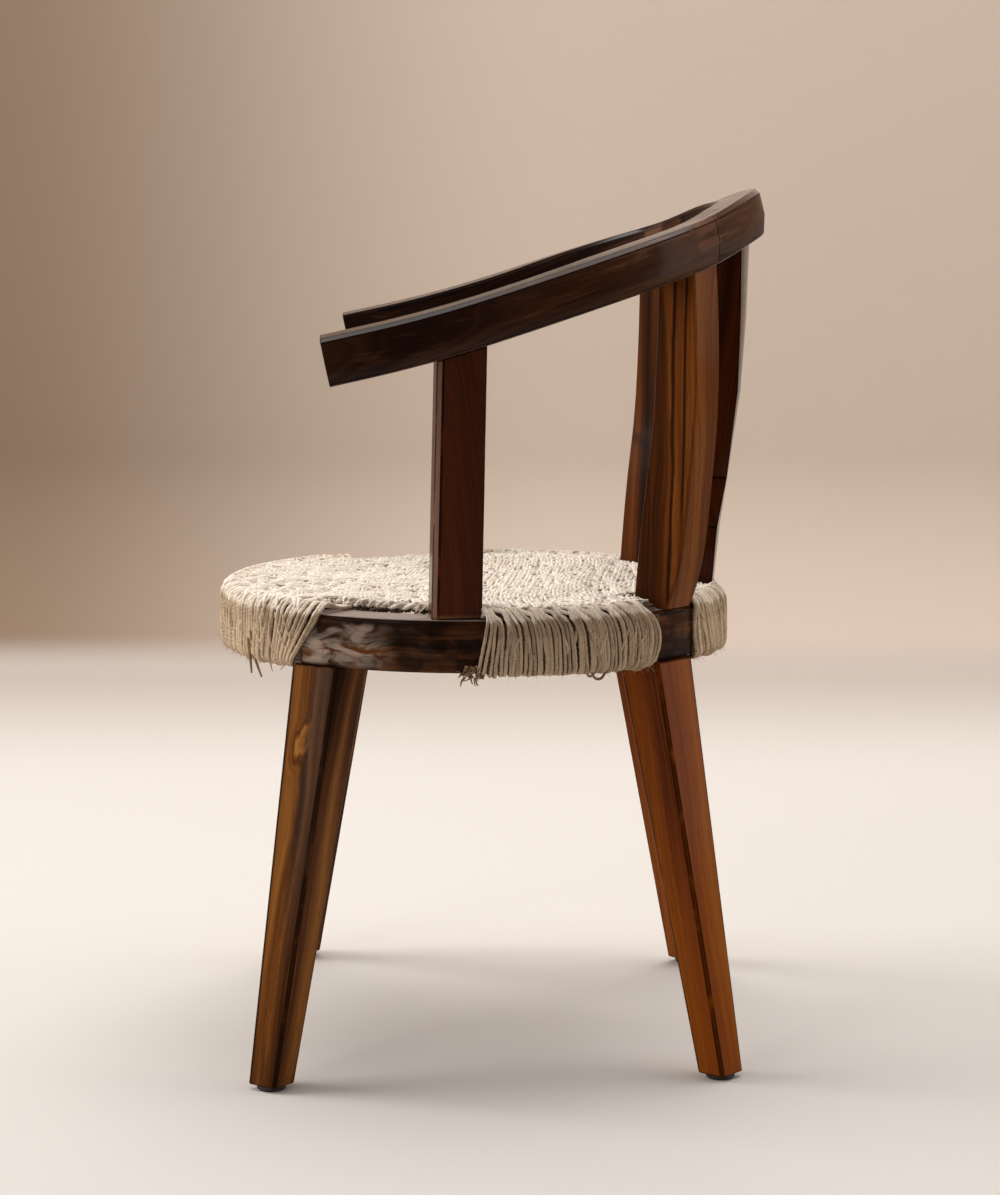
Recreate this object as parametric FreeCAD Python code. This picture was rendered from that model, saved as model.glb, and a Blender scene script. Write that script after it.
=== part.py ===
import FreeCAD, Part
import math
import os

# Round cord-seated armchair, millimetres.
# +Z is up, the sitter looks along -Y, and +X is the sitter's left side.
# The pieces are made about the round seat's axis and moved forward at the end, so that the
# origin lies on the floor under the middle of the whole chair.
# Angles about the seat are in degrees from +X towards +Y, so the front is at -90.

Vector = FreeCAD.Vector
UP = Vector(0, 0, 1)

# Seat ring, a hoop of five curved segments
ring_outer_radius = 248.0
ring_width = 47.0
ring_top = 437.0
ring_height = 49.0
ring_edge_chamfer = 3.5
ring_joint_angles = (-90.0, 22.0, 67.0, 113.0, 158.0)
ring_names = ("ring_front_left", "ring_rear_left", "ring_back", "ring_rear_right", "ring_front_right")
ring_lap_angle = 5.0

# Legs, square and tapered, splayed outwards
leg_top_width = 55.0
leg_top_depth = 47.0
leg_foot_width = 33.0
leg_foot_depth = 30.0
leg_foot_radius = 321.0
leg_edge_chamfer = 2.2
leg_tenon_width = 30.0
leg_tenon_depth = 24.0
leg_tenon_length = 25.0
front_leg_top_angle = -37.5
front_leg_foot_angle = -36.4
rear_leg_top_angle = 49.5
rear_leg_foot_angle = 45.8

# Glides under the feet, each held by one cut nail with a square shank
glide_radius = 13.5
glide_height = 5.0
glide_round = 1.2
glide_sides = 28
nail_width = 2.8
nail_head_radius = 4.0
nail_head_height = 1.5
nail_length = 24.0

# Horseshoe rail: a crest rail at the back and two arms, one outline
rail_radius = 268.0
rail_centre_y = 14.5
rail_arc_angle = 84.5
rail_width = 45.0
arm_end_y = -139.0
arm_end_slope = 12.0
arm_end_overrun = 14.0
arm_end_underside = 651.5
rail_rise = 134.0
rail_face_height_arm = 41.0
rail_face_height_crest = 41.0
rail_crown = 6.5
rail_bevel_width = 7.0
rail_bevel_height = 4.0
rail_face_bulge = 1.5
rail_face_lean = 2.5
rail_edge_round = 2.2
crest_roll = 3.0
crest_middle_drop = 9.0
crest_inner_drop = 11.0
# Share of the rise that is left at even steps from the back centre to the arm's end
rail_rise_shares = (1.0, 0.985, 0.925, 0.818, 0.712, 0.598, 0.471, 0.335, 0.204, 0.094, 0.0)

# Lap joints between the crest rail and the arms
lap_outer_angle = 37.6
lap_inner_angle = 28.6

# Arm posts, square, one under each arm
arm_post_angle = -4.9
arm_post_top_y = -11.5
arm_post_thickness = 33.0
arm_post_foot_width = 46.5
arm_post_waist_width = 45.5
arm_post_top_width = 45.0
arm_post_waist_height = 70.0
arm_post_chamfer = 5.5
arm_post_turn = 7.0

# Rear posts, sawn to a swelling curve, one over each rear leg
rear_post_angle = 51.0
rear_post_width = 39.0
rear_post_chamfer = 1.8
rear_post_top_share = 0.947
# Outer and inner edge of the post: share of its height, and radius as a share of the ring's
rear_post_outer_shares = (
    (0.0, 0.996), (0.14, 1.058), (0.31, 1.089), (0.5, 1.115), (0.64, 1.123), (1.0, 1.105),
)
rear_post_inner_shares = (
    (0.0, 0.838), (0.18, 0.862), (0.31, 0.883), (0.44, 0.909), (0.59, 0.928), (1.0, 0.948),
)

# Central back splat, a curved board with a notched waist
back_angle = 90.0
splat_thickness = 25.0
splat_bend_radius = 250.0
splat_foot_setback = 12.5
splat_lean = 33.0
splat_foot_half_width = 48.0
splat_shoulder_half_width = 57.0
splat_waist_half_width = 37.0
splat_top_half_width = 84.0
splat_shoulder_share = 0.185
splat_waist_share = 0.317
# Upper part: share of the way from waist to top, share of the widening there
splat_flare_shares = ((0.0, 0.0), (0.12, 0.2), (0.35, 0.46), (0.65, 0.76), (1.0, 1.0))
# Share of the splat's height, and share of its lean reached there
splat_lean_shares = (
    (0.0, 0.0), (0.185, 0.2), (0.317, 0.41), (0.395, 0.53), (0.545, 0.77), (0.74, 0.92), (0.97, 1.0),
)
splat_strips = 10

# Tenons of the posts and the splat
post_tenon_width = 22.0
post_tenon_depth = 18.0
post_tenon_length = 18.0
rail_tenon_length = 20.0
splat_tenon_width = 58.0
splat_tenon_depth = 10.0

# Hidden pegs of the lap joints, whittled to eight sides
dowel_radius = 4.0
dowel_sides = 8
ring_dowel_length = 36.0
ring_dowel_angle = 2.6
rail_dowel_length = 30.0
rail_dowel_lift = 20.0
rail_dowel_shares = (1 / 3, 2 / 3)

# Cord: wound round the ring in five stretches, woven across the middle
cord_diameter = 4.0
seat_rise = 12.0
wrap_round = 13.0
wrap_middle_share = 0.3
wrap_inner_bevel = 4.0
wrap_front_half_angle = 49.0
wrap_side_start = 1.9
wrap_side_end = 43.5
wrap_rear_start = 56.0
wrap_rear_end = 77.5
# Turns of each stretch, where a turn is a flat band of two to four strands laid side by side
wrap_front_turns = 24
wrap_side_turns = 19
wrap_rear_turns = 9
wrap_turn_gap = 0.9
wrap_band_crown_share = 0.72
weave_depth = 13.0
weave_edge_round = 4.0
weave_sides = 48

# Fits
fit_gap = 0.15
soft_gap = 0.3
cut_overrun = 40.0

# Derived places
ring_bottom = ring_top - ring_height
ring_inner_radius = ring_outer_radius - ring_width
ring_middle_radius = ring_outer_radius - ring_width / 2
ring_middle_height = ring_top - ring_height / 2
rail_arc_length = rail_radius * math.radians(rail_arc_angle)
rail_flare = 90.0 - rail_arc_angle
arc_end_y = rail_centre_y + rail_radius * math.cos(math.radians(rail_arc_angle))
rail_length = rail_arc_length + (arc_end_y - arm_end_y) / math.cos(math.radians(rail_flare))
back_height = arm_end_underside + rail_rise - ring_top
rear_post_top_height = back_height * rear_post_top_share
splat_foot_back = ring_outer_radius - splat_foot_setback
splat_top_height = back_height + rail_crown
middle_y = (rail_centre_y + rail_radius - ring_outer_radius - cord_diameter) / 2


def polar(radius, angle, height):
    """Point at a radius and an angle about the seat's axis."""
    turn = math.radians(angle)
    return Vector(radius * math.cos(turn), radius * math.sin(turn), height)


def face_of(points):
    """Flat face with straight sides through the points."""
    return Part.Face(Part.makePolygon(list(points) + [points[0]]))


def revolved(points, start, end):
    """Solid of a section in the XZ plane, turned about Z between two angles."""
    face = face_of(points)
    face.rotate(Vector(0, 0, 0), UP, start)
    return face.revolve(Vector(0, 0, 0), UP, end - start)


def stick(low, high):
    """Straight stick with flat sides between two like outlines, given as their corners."""
    sides = [(low[i - 1], low[i], high[i], high[i - 1]) for i in range(len(low))]
    faces = [face_of(corners) for corners in [low[::-1], high] + sides]
    return Part.makeSolid(Part.makeShell(faces))


def board(outlines):
    """Curved board through like outlines, each patch of its skin split into two flat halves."""
    faces = [face_of(outlines[0][::-1]), face_of(outlines[-1])]
    for low, high in zip(outlines[:-1], outlines[1:]):
        for i in range(len(low)):
            faces.append(face_of([low[i - 1], low[i], high[i]]))
            faces.append(face_of([low[i - 1], high[i], high[i - 1]]))
    return Part.makeSolid(Part.makeShell(faces))


def rectangle(centre, angle, width, depth):
    """Corners of a level rectangle: depth runs along the angle, width across it."""
    out = polar(1, angle, 0)
    across = polar(1, angle + 90, 0)
    corners = ((-1, -1), (1, -1), (1, 1), (-1, 1))
    return [centre + out * (depth / 2 * i) + across * (width / 2 * j) for i, j in corners]


def tapered_block(low, high, angle, low_size, high_size):
    """Straight stick between two level rectangles; sizes are (width, depth)."""
    return stick(rectangle(low, angle, *low_size), rectangle(high, angle, *high_size))


def many_sided(centre, radius, sides):
    """Corners of a level regular outline."""
    return [centre + polar(radius, 360 * i / sides, 0) for i in range(sides)]


def mirrored(shape):
    """The same piece on the other side of the chair."""
    return shape.mirror(Vector(0, 0, 0), Vector(1, 0, 0))


def one_solid(shape):
    """The single solid inside a boolean's result, with its joined faces merged."""
    return shape.removeSplitter().Solids[0]


def share_at(table, share):
    """Value of a table of shares at a share, in straight steps; the last step runs on."""
    step = 1
    while step < len(table) - 1 and table[step][0] < share:
        step += 1
    (low, low_value), (high, high_value) = table[step - 1:step + 1]
    return low_value + (high_value - low_value) * (share - low) / (high - low)


# Rail

def rail_plan(distance, inset):
    """Point of the rail's plan at a distance along its outer edge, with its outward angle."""
    turn = min(distance / rail_radius, math.radians(rail_arc_angle))
    run = max(distance - rail_arc_length, 0)
    radius = rail_radius - inset
    x = radius * math.sin(turn) + run * math.cos(turn)
    y = rail_centre_y + radius * math.cos(turn) - run * math.sin(turn)
    return x, y, turn


def rail_underside(share):
    """Height of the rail's outer bottom edge at a share of its length."""
    steps = len(rail_rise_shares) - 1
    table = [(i / steps, value) for i, value in enumerate(rail_rise_shares)]
    return arm_end_underside + rail_rise * share_at(table, share)


def rail_section(share, side):
    """Outline of the rail at a share of its length; side is 1 on the left, -1 on the right."""
    x, y, turn = rail_plan(rail_length * share, 0)
    out = Vector(side * math.sin(turn), math.cos(turn), 0)
    dish = math.cos(turn) ** 2
    roll = math.radians(crest_roll) * dish
    outward = out * math.cos(roll) + UP * math.sin(roll)
    upward = UP * math.cos(roll) - out * math.sin(roll)
    face = rail_face_height_crest + (rail_face_height_arm - rail_face_height_crest) * share
    base = Vector(side * x, y, rail_underside(share))
    outline = (
        (rail_edge_round, 0),
        (0, rail_edge_round),
        (-rail_face_bulge, face / 2),
        (rail_face_lean, face),
        (rail_bevel_width, face + rail_bevel_height),
        (rail_width / 2, face + rail_crown - crest_middle_drop * dish),
        (rail_width - rail_edge_round, face + rail_bevel_height - crest_inner_drop * dish),
        (rail_width, face - crest_inner_drop * dish),
        (rail_width, rail_edge_round),
        (rail_width - rail_edge_round, 0),
    )
    points = [base - outward * inset + upward * lift for inset, lift in outline]
    return Part.makePolygon(points + [points[0]])


def whole_rail():
    """The horseshoe rail before its joints are cut, with square front ends."""
    steps = len(rail_rise_shares) - 1
    shares = [i / steps for i in range(1, steps + 1)] + [1 + arm_end_overrun / rail_length]
    left = [rail_section(share, 1) for share in reversed(shares)]
    right = [rail_section(share, -1) for share in shares]
    return Part.makeLoft(left + [rail_section(0, 1)] + right, True, False)


def arm_end_waste():
    """What is sawn off the arms' ends, square to their slope."""
    size = rail_radius * 4
    waste = Part.makeBox(size, size, size, Vector(-size / 2, -size, -size / 2))
    waste.rotate(Vector(0, 0, 0), Vector(1, 0, 0), arm_end_slope)
    waste.translate(Vector(0, arm_end_y, arm_end_underside + rail_face_height_arm))
    return waste


def arm_region(side):
    """Space of one arm: outer half from the outer seam on, inner half from the inner seam on."""
    reach = rail_radius + cut_overrun
    middle = rail_radius - rail_width / 2
    floor = Vector(0, rail_centre_y, 0)

    def at(radius, angle):
        turn = math.radians(angle)
        return floor + Vector(side * radius * math.sin(turn), radius * math.cos(turn), 0)

    outline = [
        at(reach, lap_outer_angle),
        at(middle, lap_outer_angle),
        at(middle, lap_inner_angle),
        at(middle - rail_width, lap_inner_angle),
        Vector(side * rail_width, arm_end_y - cut_overrun, 0),
        Vector(side * reach * 2, arm_end_y - cut_overrun, 0),
        Vector(side * reach * 2, rail_centre_y, 0),
    ]
    return face_of(outline).extrude(UP * (ring_top * 3))


# Seat ring

def ring_profile(edge):
    """Section of half the hoop's height, from its middle to a bevelled edge."""
    inward = math.copysign(ring_edge_chamfer, ring_middle_height - edge)
    return [
        Vector(ring_inner_radius, 0, ring_middle_height),
        Vector(ring_outer_radius, 0, ring_middle_height),
        Vector(ring_outer_radius, 0, edge + inward),
        Vector(ring_outer_radius - ring_edge_chamfer, 0, edge),
        Vector(ring_inner_radius + ring_edge_chamfer, 0, edge),
        Vector(ring_inner_radius, 0, edge + inward),
    ]


def ring_segment(start, end):
    """One segment: its lower half runs past one joint, its upper half past the other."""
    lower = ring_profile(ring_bottom)
    upper = ring_profile(ring_top)
    low = revolved(lower, start + ring_lap_angle, end + ring_lap_angle)
    high = revolved(upper, start - ring_lap_angle, end - ring_lap_angle)
    return one_solid(low.fuse(high))


# Legs and glides

def leg_ends(top_angle, foot_angle):
    """Centres of a leg's top and foot."""
    foot = polar(leg_foot_radius, foot_angle, glide_height)
    return polar(ring_middle_radius, top_angle, ring_bottom), foot


def leg(top_angle, foot_angle):
    """Tapered leg with chamfered arrises and a level tenon that enters the ring."""
    top, foot = leg_ends(top_angle, foot_angle)
    low_size = (leg_foot_width, leg_foot_depth)
    high_size = (leg_top_width, leg_top_depth)
    body = tapered_block(foot, top, top_angle, low_size, high_size)
    arrises = [e for e in body.Edges if e.BoundBox.ZLength > ring_bottom / 2]
    body = body.makeChamfer(leg_edge_chamfer, arrises)
    tenon_size = (leg_tenon_width, leg_tenon_depth)
    leg_tenon = tapered_block(top, top + UP * leg_tenon_length, top_angle, tenon_size, tenon_size)
    hole = nail(foot_angle, fit_gap)
    return one_solid(body.fuse(leg_tenon).cut(hole))


def leg_mortise(top_angle):
    """Space that a leg's tenon needs in the ring."""
    low = polar(ring_middle_radius, top_angle, ring_bottom)
    size = (leg_tenon_width + 2 * fit_gap, leg_tenon_depth + 2 * fit_gap)
    return tapered_block(low, low + UP * (leg_tenon_length + fit_gap), top_angle, size, size)


def glide(foot_angle):
    """Pad under a foot, eased at its lower rim and pierced for its nail."""
    centre = polar(leg_foot_radius, foot_angle, 0)
    small = many_sided(centre, glide_radius - glide_round, glide_sides)
    rim = many_sided(centre + UP * glide_round, glide_radius, glide_sides)
    top = many_sided(centre + UP * glide_height, glide_radius, glide_sides)
    pad = stick(small, rim).fuse(stick(rim, top))
    return one_solid(pad.cut(nail(foot_angle, fit_gap)))


def nail(foot_angle, gap):
    """Nail with a flat head that the glide is moulded round, grown by a gap on every side."""
    centre = polar(leg_foot_radius, foot_angle, nail_head_height)
    size = (nail_width + 2 * gap, nail_width + 2 * gap)
    shank = tapered_block(centre, centre + UP * (nail_length + gap), foot_angle, size, size)
    low = many_sided(centre, nail_head_radius + gap, dowel_sides)
    high = [corner + UP * (nail_head_height + gap) for corner in low]
    return one_solid(shank.fuse(stick(low, high)))


# Posts and splat

def arm_post_line():
    """Foot and top of an arm post's centre line, the top at the rail's underside."""
    foot = polar(ring_middle_radius, arm_post_angle, ring_top)
    distance = rail_arc_length + (arc_end_y - arm_post_top_y) / math.cos(math.radians(rail_flare))
    x, y, turn = rail_plan(distance, rail_width / 2)
    return foot, Vector(x, y, rail_underside(distance / rail_length))


def arm_post_outline(centre, width):
    """Corners of an arm post's level section, its outer front corner bevelled."""
    out = polar(1, arm_post_turn, 0)
    rear = polar(1, arm_post_turn + 90, 0)
    half = arm_post_thickness / 2
    side = width / 2
    cut = arm_post_chamfer
    corners = ((-half, -side), (half - cut, -side), (half, cut - side), (half, side), (-half, side))
    return [centre + out * a + rear * b for a, b in corners]


def arm_post_body():
    """Arm post from the ring up into the rail, before the rail is taken off."""
    foot, top = arm_post_line()
    lean = (top - foot) * (1 / (top.z - foot.z))
    waist = foot + lean * arm_post_waist_height
    above = top + lean * (rail_crown * 2)
    outlines = [
        arm_post_outline(foot, arm_post_foot_width),
        arm_post_outline(waist, arm_post_waist_width),
        arm_post_outline(above, arm_post_top_width),
    ]
    return one_solid(stick(*outlines[:2]).fuse(stick(*outlines[1:])))


def rear_post_edge(shares):
    """One curved edge of a rear post, in its own upright plane."""
    points = [
        Vector(ring_outer_radius * radius, 0, ring_top + rear_post_top_height * height)
        for height, radius in shares
    ]
    curve = Part.BSplineCurve()
    curve.interpolate(points)
    return curve.toShape(), points


def rear_post_body():
    """Rear post sawn from a plank: its curved side view, extruded by its width."""
    outer, outer_points = rear_post_edge(rear_post_outer_shares)
    inner, inner_points = rear_post_edge(rear_post_inner_shares)
    top = Part.makeLine(outer_points[-1], inner_points[-1])
    foot = Part.makeLine(inner_points[0], outer_points[0])
    face = Part.Face(Part.Wire(Part.__sortEdges__([outer, top, inner, foot])))
    face.translate(Vector(0, -rear_post_width / 2, 0))
    body = face.extrude(Vector(0, rear_post_width, 0))
    long_edges = [e for e in body.Edges if e.BoundBox.ZLength > rear_post_top_height / 2]
    body = body.makeChamfer(rear_post_chamfer, long_edges)
    body.rotate(Vector(0, 0, 0), UP, rear_post_angle)
    return body


def rear_post_line():
    """Points on a rear post's middle at its foot and where it enters the rail."""
    foot_radius = ring_outer_radius * (rear_post_outer_shares[0][1] + rear_post_inner_shares[0][1]) / 2
    top_radius = ring_outer_radius * (rear_post_outer_shares[-1][1] + rear_post_inner_shares[-1][1]) / 2
    foot = polar(foot_radius, rear_post_angle, ring_top)
    top = polar(top_radius, rear_post_angle, 0)
    turn = math.atan2(top.x, top.y - rail_centre_y)
    return foot, Vector(top.x, top.y, rail_underside(turn * rail_radius / rail_length))


def splat_outline(share, half_width):
    """Corners of a level section of the splat: a strip bent to the back's curve in even steps."""
    back = splat_foot_back + splat_lean * share_at(splat_lean_shares, share)
    centre = Vector(0, back - splat_bend_radius, ring_top + splat_top_height * share)
    angle = math.degrees(math.asin(half_width / splat_bend_radius))
    turns = [back_angle - angle + 2 * angle * i / splat_strips for i in range(splat_strips + 1)]
    back_points = [centre + polar(splat_bend_radius, turn, 0) for turn in turns]
    front_points = [centre + polar(splat_bend_radius - splat_thickness, turn, 0) for turn in turns]
    return back_points + front_points[::-1]


def splat_body():
    """Splat from the ring up into the crest rail: foot, shoulder, notched waist and flare."""
    lower = [
        splat_outline(0, splat_foot_half_width),
        splat_outline(splat_shoulder_share, splat_shoulder_half_width),
    ]
    flare = splat_top_half_width - splat_waist_half_width
    upper = [
        splat_outline(
            splat_waist_share + (1 - splat_waist_share) * rise,
            splat_waist_half_width + flare * spread,
        )
        for rise, spread in splat_flare_shares
    ]
    return board(lower + upper)


def tenon(centre, angle, width, depth, length, gap):
    """Square tenon or its mortise: starts inside its own piece and ends at its length."""
    size = (width + 2 * gap, depth + 2 * gap)
    low = centre - UP * length
    return tapered_block(low, centre + UP * (length + gap), angle, size, size)


def down_tenon(centre, angle, width, depth, length, gap):
    """Square tenon or its mortise that goes down from a foot."""
    size = (width + 2 * gap, depth + 2 * gap)
    return tapered_block(centre - UP * (length + gap), centre + UP * length, angle, size, size)


# Pegs

def dowel(centre, direction, length, gap):
    """Eight-sided peg about its middle, along a direction, or its hole."""
    outline = face_of(many_sided(UP * (-length / 2 - gap), dowel_radius + gap, dowel_sides))
    peg = outline.extrude(UP * (length + 2 * gap))
    peg.Placement = FreeCAD.Placement(centre, FreeCAD.Rotation(UP, direction))
    return peg


def ring_dowels(gap):
    """Two upright dowels through each lap of the ring."""
    return [
        dowel(polar(ring_middle_radius, angle + turn, ring_middle_height), UP, ring_dowel_length, gap)
        for angle in ring_joint_angles
        for turn in (-ring_dowel_angle, ring_dowel_angle)
    ]


def rail_dowels(gap):
    """Two radial dowels through each lap of the rail."""
    dowels = []
    for side in (1, -1):
        for share in rail_dowel_shares:
            turn = math.radians(lap_inner_angle + (lap_outer_angle - lap_inner_angle) * share)
            out = Vector(side * math.sin(turn), math.cos(turn), 0)
            middle = Vector(0, rail_centre_y, 0) + out * (rail_radius - rail_width / 2)
            height = rail_underside(turn * rail_radius / rail_length) + rail_dowel_lift
            dowels.append(dowel(middle + UP * height, out, rail_dowel_length, gap))
    return dowels


# Cord

def winding_profiles():
    """Where a turn of cord runs in the XZ plane: its corners on the wood and on its outside."""
    wood_in = ring_inner_radius - soft_gap
    wood_out = ring_outer_radius + soft_gap
    edge = ring_edge_chamfer
    inner = ring_inner_radius - cord_diameter
    outer = ring_outer_radius + cord_diameter
    low = ring_bottom - cord_diameter
    high = ring_top + seat_rise
    near = wrap_round * wrap_middle_share
    slant = cord_diameter * math.sqrt(0.5)
    bevel = wrap_inner_bevel
    outside = [
        (inner, low + bevel),
        (inner + bevel, low),
        (outer - wrap_round, low),
        (outer - near, low + near),
        (outer, low + wrap_round),
        (outer, high - wrap_round),
        (outer - near, high - near),
        (outer - wrap_round, high),
        (inner + bevel, high),
        (inner, high - bevel),
    ]
    inside = [
        (wood_in, ring_bottom + edge),
        (ring_inner_radius + edge, ring_bottom - soft_gap),
        (ring_outer_radius - edge, ring_bottom - soft_gap),
        (wood_out - edge / 2, ring_bottom + edge / 2 - soft_gap),
        (wood_out, ring_bottom + edge),
        (wood_out, ring_top - edge),
        (outer - near - slant, high - near - slant),
        (outer - wrap_round, high - cord_diameter),
        (ring_inner_radius + edge, high - cord_diameter),
        (wood_in, high - cord_diameter - edge),
    ]
    return inside, outside


def winding(start, end, turns):
    """One unbroken band wound round the ring, a turn beside a turn, between two angles."""
    inside, outside = winding_profiles()
    corners = len(inside)
    gap = math.degrees(wrap_turn_gap / (ring_inner_radius - cord_diameter))
    pitch = (end - start + gap) / (turns + 1)
    half = (pitch - gap) / 2
    crown = half * wrap_band_crown_share
    outlines = []
    for i in range(turns * corners + 1):
        angle = start + half + pitch * i / corners
        wood, air = inside[i % corners], outside[i % corners]
        outlines.append([
            polar(wood[0], angle - half, wood[1]),
            polar(wood[0], angle + half, wood[1]),
            polar(air[0], angle + crown, air[1]),
            polar(air[0], angle - crown, air[1]),
        ])
    least = min(low[1].distanceToPoint(high[0]) for low, high in zip(outlines, outlines[corners:]))
    print("winding of", turns, "turns, least gap to itself", round(least, 2))
    return board(outlines)


def under_layers(start, end):
    """The layers of cord on the ring's top that the winding goes over."""
    edge = ring_edge_chamfer
    top = ring_top + seat_rise - cord_diameter - soft_gap
    section = [
        Vector(ring_inner_radius + edge, 0, ring_top + soft_gap),
        Vector(ring_outer_radius - edge, 0, ring_top + soft_gap),
        Vector(ring_outer_radius + cord_diameter - wrap_round - soft_gap, 0, top),
        Vector(ring_inner_radius + edge, 0, top),
    ]
    return revolved(section, start, end).Solids[0]


def cord_wrap(start, end, turns):
    """One stretch of the seat's edge: the under layers and the winding over them."""
    return Part.makeCompound([under_layers(start, end), winding(start, end, turns)])


def woven_seat():
    """The woven middle of the seat, inside the windings."""
    radius = ring_inner_radius - cord_diameter - soft_gap
    top = Vector(0, 0, ring_top + seat_rise)
    low = many_sided(top - UP * weave_depth, radius, weave_sides)
    shoulder = many_sided(top - UP * weave_edge_round, radius, weave_sides)
    high = many_sided(top, radius - weave_edge_round, weave_sides)
    return one_solid(stick(low, shoulder).fuse(stick(shoulder, high)))


# Assembly

def build():
    """Every piece by its name."""
    parts = {}
    leg_angles = {
        "front": (front_leg_top_angle, front_leg_foot_angle),
        "rear": (rear_leg_top_angle, rear_leg_foot_angle),
    }
    nails = []
    mortises = []
    for place, (top_angle, foot_angle) in leg_angles.items():
        pieces = (("leg", leg(top_angle, foot_angle)), ("glide", glide(foot_angle)))
        for name, shape in pieces:
            parts[name + "_" + place + "_left"] = shape
            parts[name + "_" + place + "_right"] = mirrored(shape)
        pin = nail(foot_angle, 0)
        nails += [pin, mirrored(pin)]
        hole = leg_mortise(top_angle)
        mortises += [hole, mirrored(hole)]
    parts["glide_nails"] = Part.makeCompound(nails)

    rail = whole_rail().cut(arm_end_waste())

    arm_foot, arm_top = arm_post_line()
    rear_foot, rear_top = rear_post_line()
    splat_foot = Vector(0, splat_foot_back - splat_thickness / 2, ring_top)
    splat_top = Vector(0, splat_foot_back + splat_lean - splat_thickness / 2, rail_underside(0))
    post_size = (post_tenon_width, post_tenon_depth)
    splat_size = (splat_tenon_width, splat_tenon_depth)
    ups = (
        (arm_top, arm_post_turn, post_size),
        (rear_top, rear_post_angle, post_size),
        (splat_top, back_angle, splat_size),
    )
    downs = (
        (arm_foot, arm_post_turn, post_size),
        (rear_foot, rear_post_angle, post_size),
        (splat_foot, back_angle, splat_size),
    )
    rail_holes = [tenon(at, angle, *size, rail_tenon_length, fit_gap) for at, angle, size in ups]
    ring_holes = [down_tenon(at, angle, *size, post_tenon_length, fit_gap) for at, angle, size in downs]
    rail_holes += [mirrored(hole) for hole in rail_holes[:2]]
    ring_holes += [mirrored(hole) for hole in ring_holes[:2]]

    bodies = (arm_post_body(), rear_post_body(), splat_body())
    pieces = []
    for body, (top, angle, size), (foot, foot_angle, foot_size) in zip(bodies, ups, downs):
        upper = tenon(top, angle, *size, rail_tenon_length, 0)
        lower = down_tenon(foot, foot_angle, *foot_size, post_tenon_length, 0)
        pieces.append(one_solid(body.cut(rail).fuse([upper, lower])))
    parts["arm_post_left"] = pieces[0]
    parts["arm_post_right"] = mirrored(pieces[0])
    parts["rear_post_left"] = pieces[1]
    parts["rear_post_right"] = mirrored(pieces[1])
    parts["back_splat"] = pieces[2]

    arms = [rail.common(arm_region(side)) for side in (1, -1)]
    crest = rail.cut(arms)
    rail_cuts = rail_holes + rail_dowels(fit_gap)
    for name, shape in (("arm_left", arms[0]), ("arm_right", arms[1]), ("crest_rail", crest)):
        parts[name] = one_solid(shape.cut(rail_cuts))
    parts["rail_dowels"] = Part.makeCompound(rail_dowels(0))

    ring_cuts = ring_holes + mortises + ring_dowels(fit_gap)
    ends = ring_joint_angles[1:] + (ring_joint_angles[0] + 360,)
    for name, start, end in zip(ring_names, ring_joint_angles, ends):
        parts[name] = one_solid(ring_segment(start, end).cut(ring_cuts))
    parts["ring_dowels"] = Part.makeCompound(ring_dowels(0))

    parts["woven_seat"] = woven_seat()
    front_ends = (-back_angle - wrap_front_half_angle, -back_angle + wrap_front_half_angle)
    parts["cord_wrap_front"] = cord_wrap(*front_ends, wrap_front_turns)
    stretches = (
        ("side", wrap_side_start, wrap_side_end, wrap_side_turns),
        ("rear", wrap_rear_start, wrap_rear_end, wrap_rear_turns),
    )
    for place, start, end, turns in stretches:
        wrap = cord_wrap(start, end, turns)
        parts["cord_wrap_" + place + "_left"] = wrap
        parts["cord_wrap_" + place + "_right"] = mirrored(wrap)
    return parts


os.makedirs("parts", exist_ok=True)
for node, shape in build().items():
    shape.translate(Vector(0, -middle_y, 0))
    print(node, len(shape.Solids), "solids, volume", round(shape.Volume), "valid", shape.isValid())
    shape.exportStep("parts/" + node + ".step")
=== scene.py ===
import math

import bmesh
import bpy
import numpy as np
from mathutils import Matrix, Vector


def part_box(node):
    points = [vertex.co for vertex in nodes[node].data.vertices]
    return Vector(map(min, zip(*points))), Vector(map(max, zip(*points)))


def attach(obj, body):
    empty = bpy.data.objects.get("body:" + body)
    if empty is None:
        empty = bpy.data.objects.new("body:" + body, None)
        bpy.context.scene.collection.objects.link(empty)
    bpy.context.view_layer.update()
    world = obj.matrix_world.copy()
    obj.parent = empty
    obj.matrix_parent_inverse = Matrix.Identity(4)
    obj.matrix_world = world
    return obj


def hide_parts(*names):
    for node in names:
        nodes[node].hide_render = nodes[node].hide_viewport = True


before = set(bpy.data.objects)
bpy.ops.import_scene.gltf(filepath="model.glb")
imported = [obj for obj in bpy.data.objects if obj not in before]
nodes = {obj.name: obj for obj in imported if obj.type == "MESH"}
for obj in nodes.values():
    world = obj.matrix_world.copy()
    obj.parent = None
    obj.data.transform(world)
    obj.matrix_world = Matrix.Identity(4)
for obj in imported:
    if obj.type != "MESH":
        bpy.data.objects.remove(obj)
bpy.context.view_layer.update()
scene = bpy.context.scene
scene.view_settings.view_transform = "Standard"


# Camera: at the chair's left side, a little above the seat, with a long lens.
# Its yaw and pitch are in radians. Lengths are in metres, and angles round the seat in degrees.
camera_place = Vector((3.1006, -0.0207, 0.8295))
camera_yaw = 0.0097
camera_pitch = 0.1292
camera_lens = 94.68
camera_film_width = 36.0
camera_range = 60.0

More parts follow.
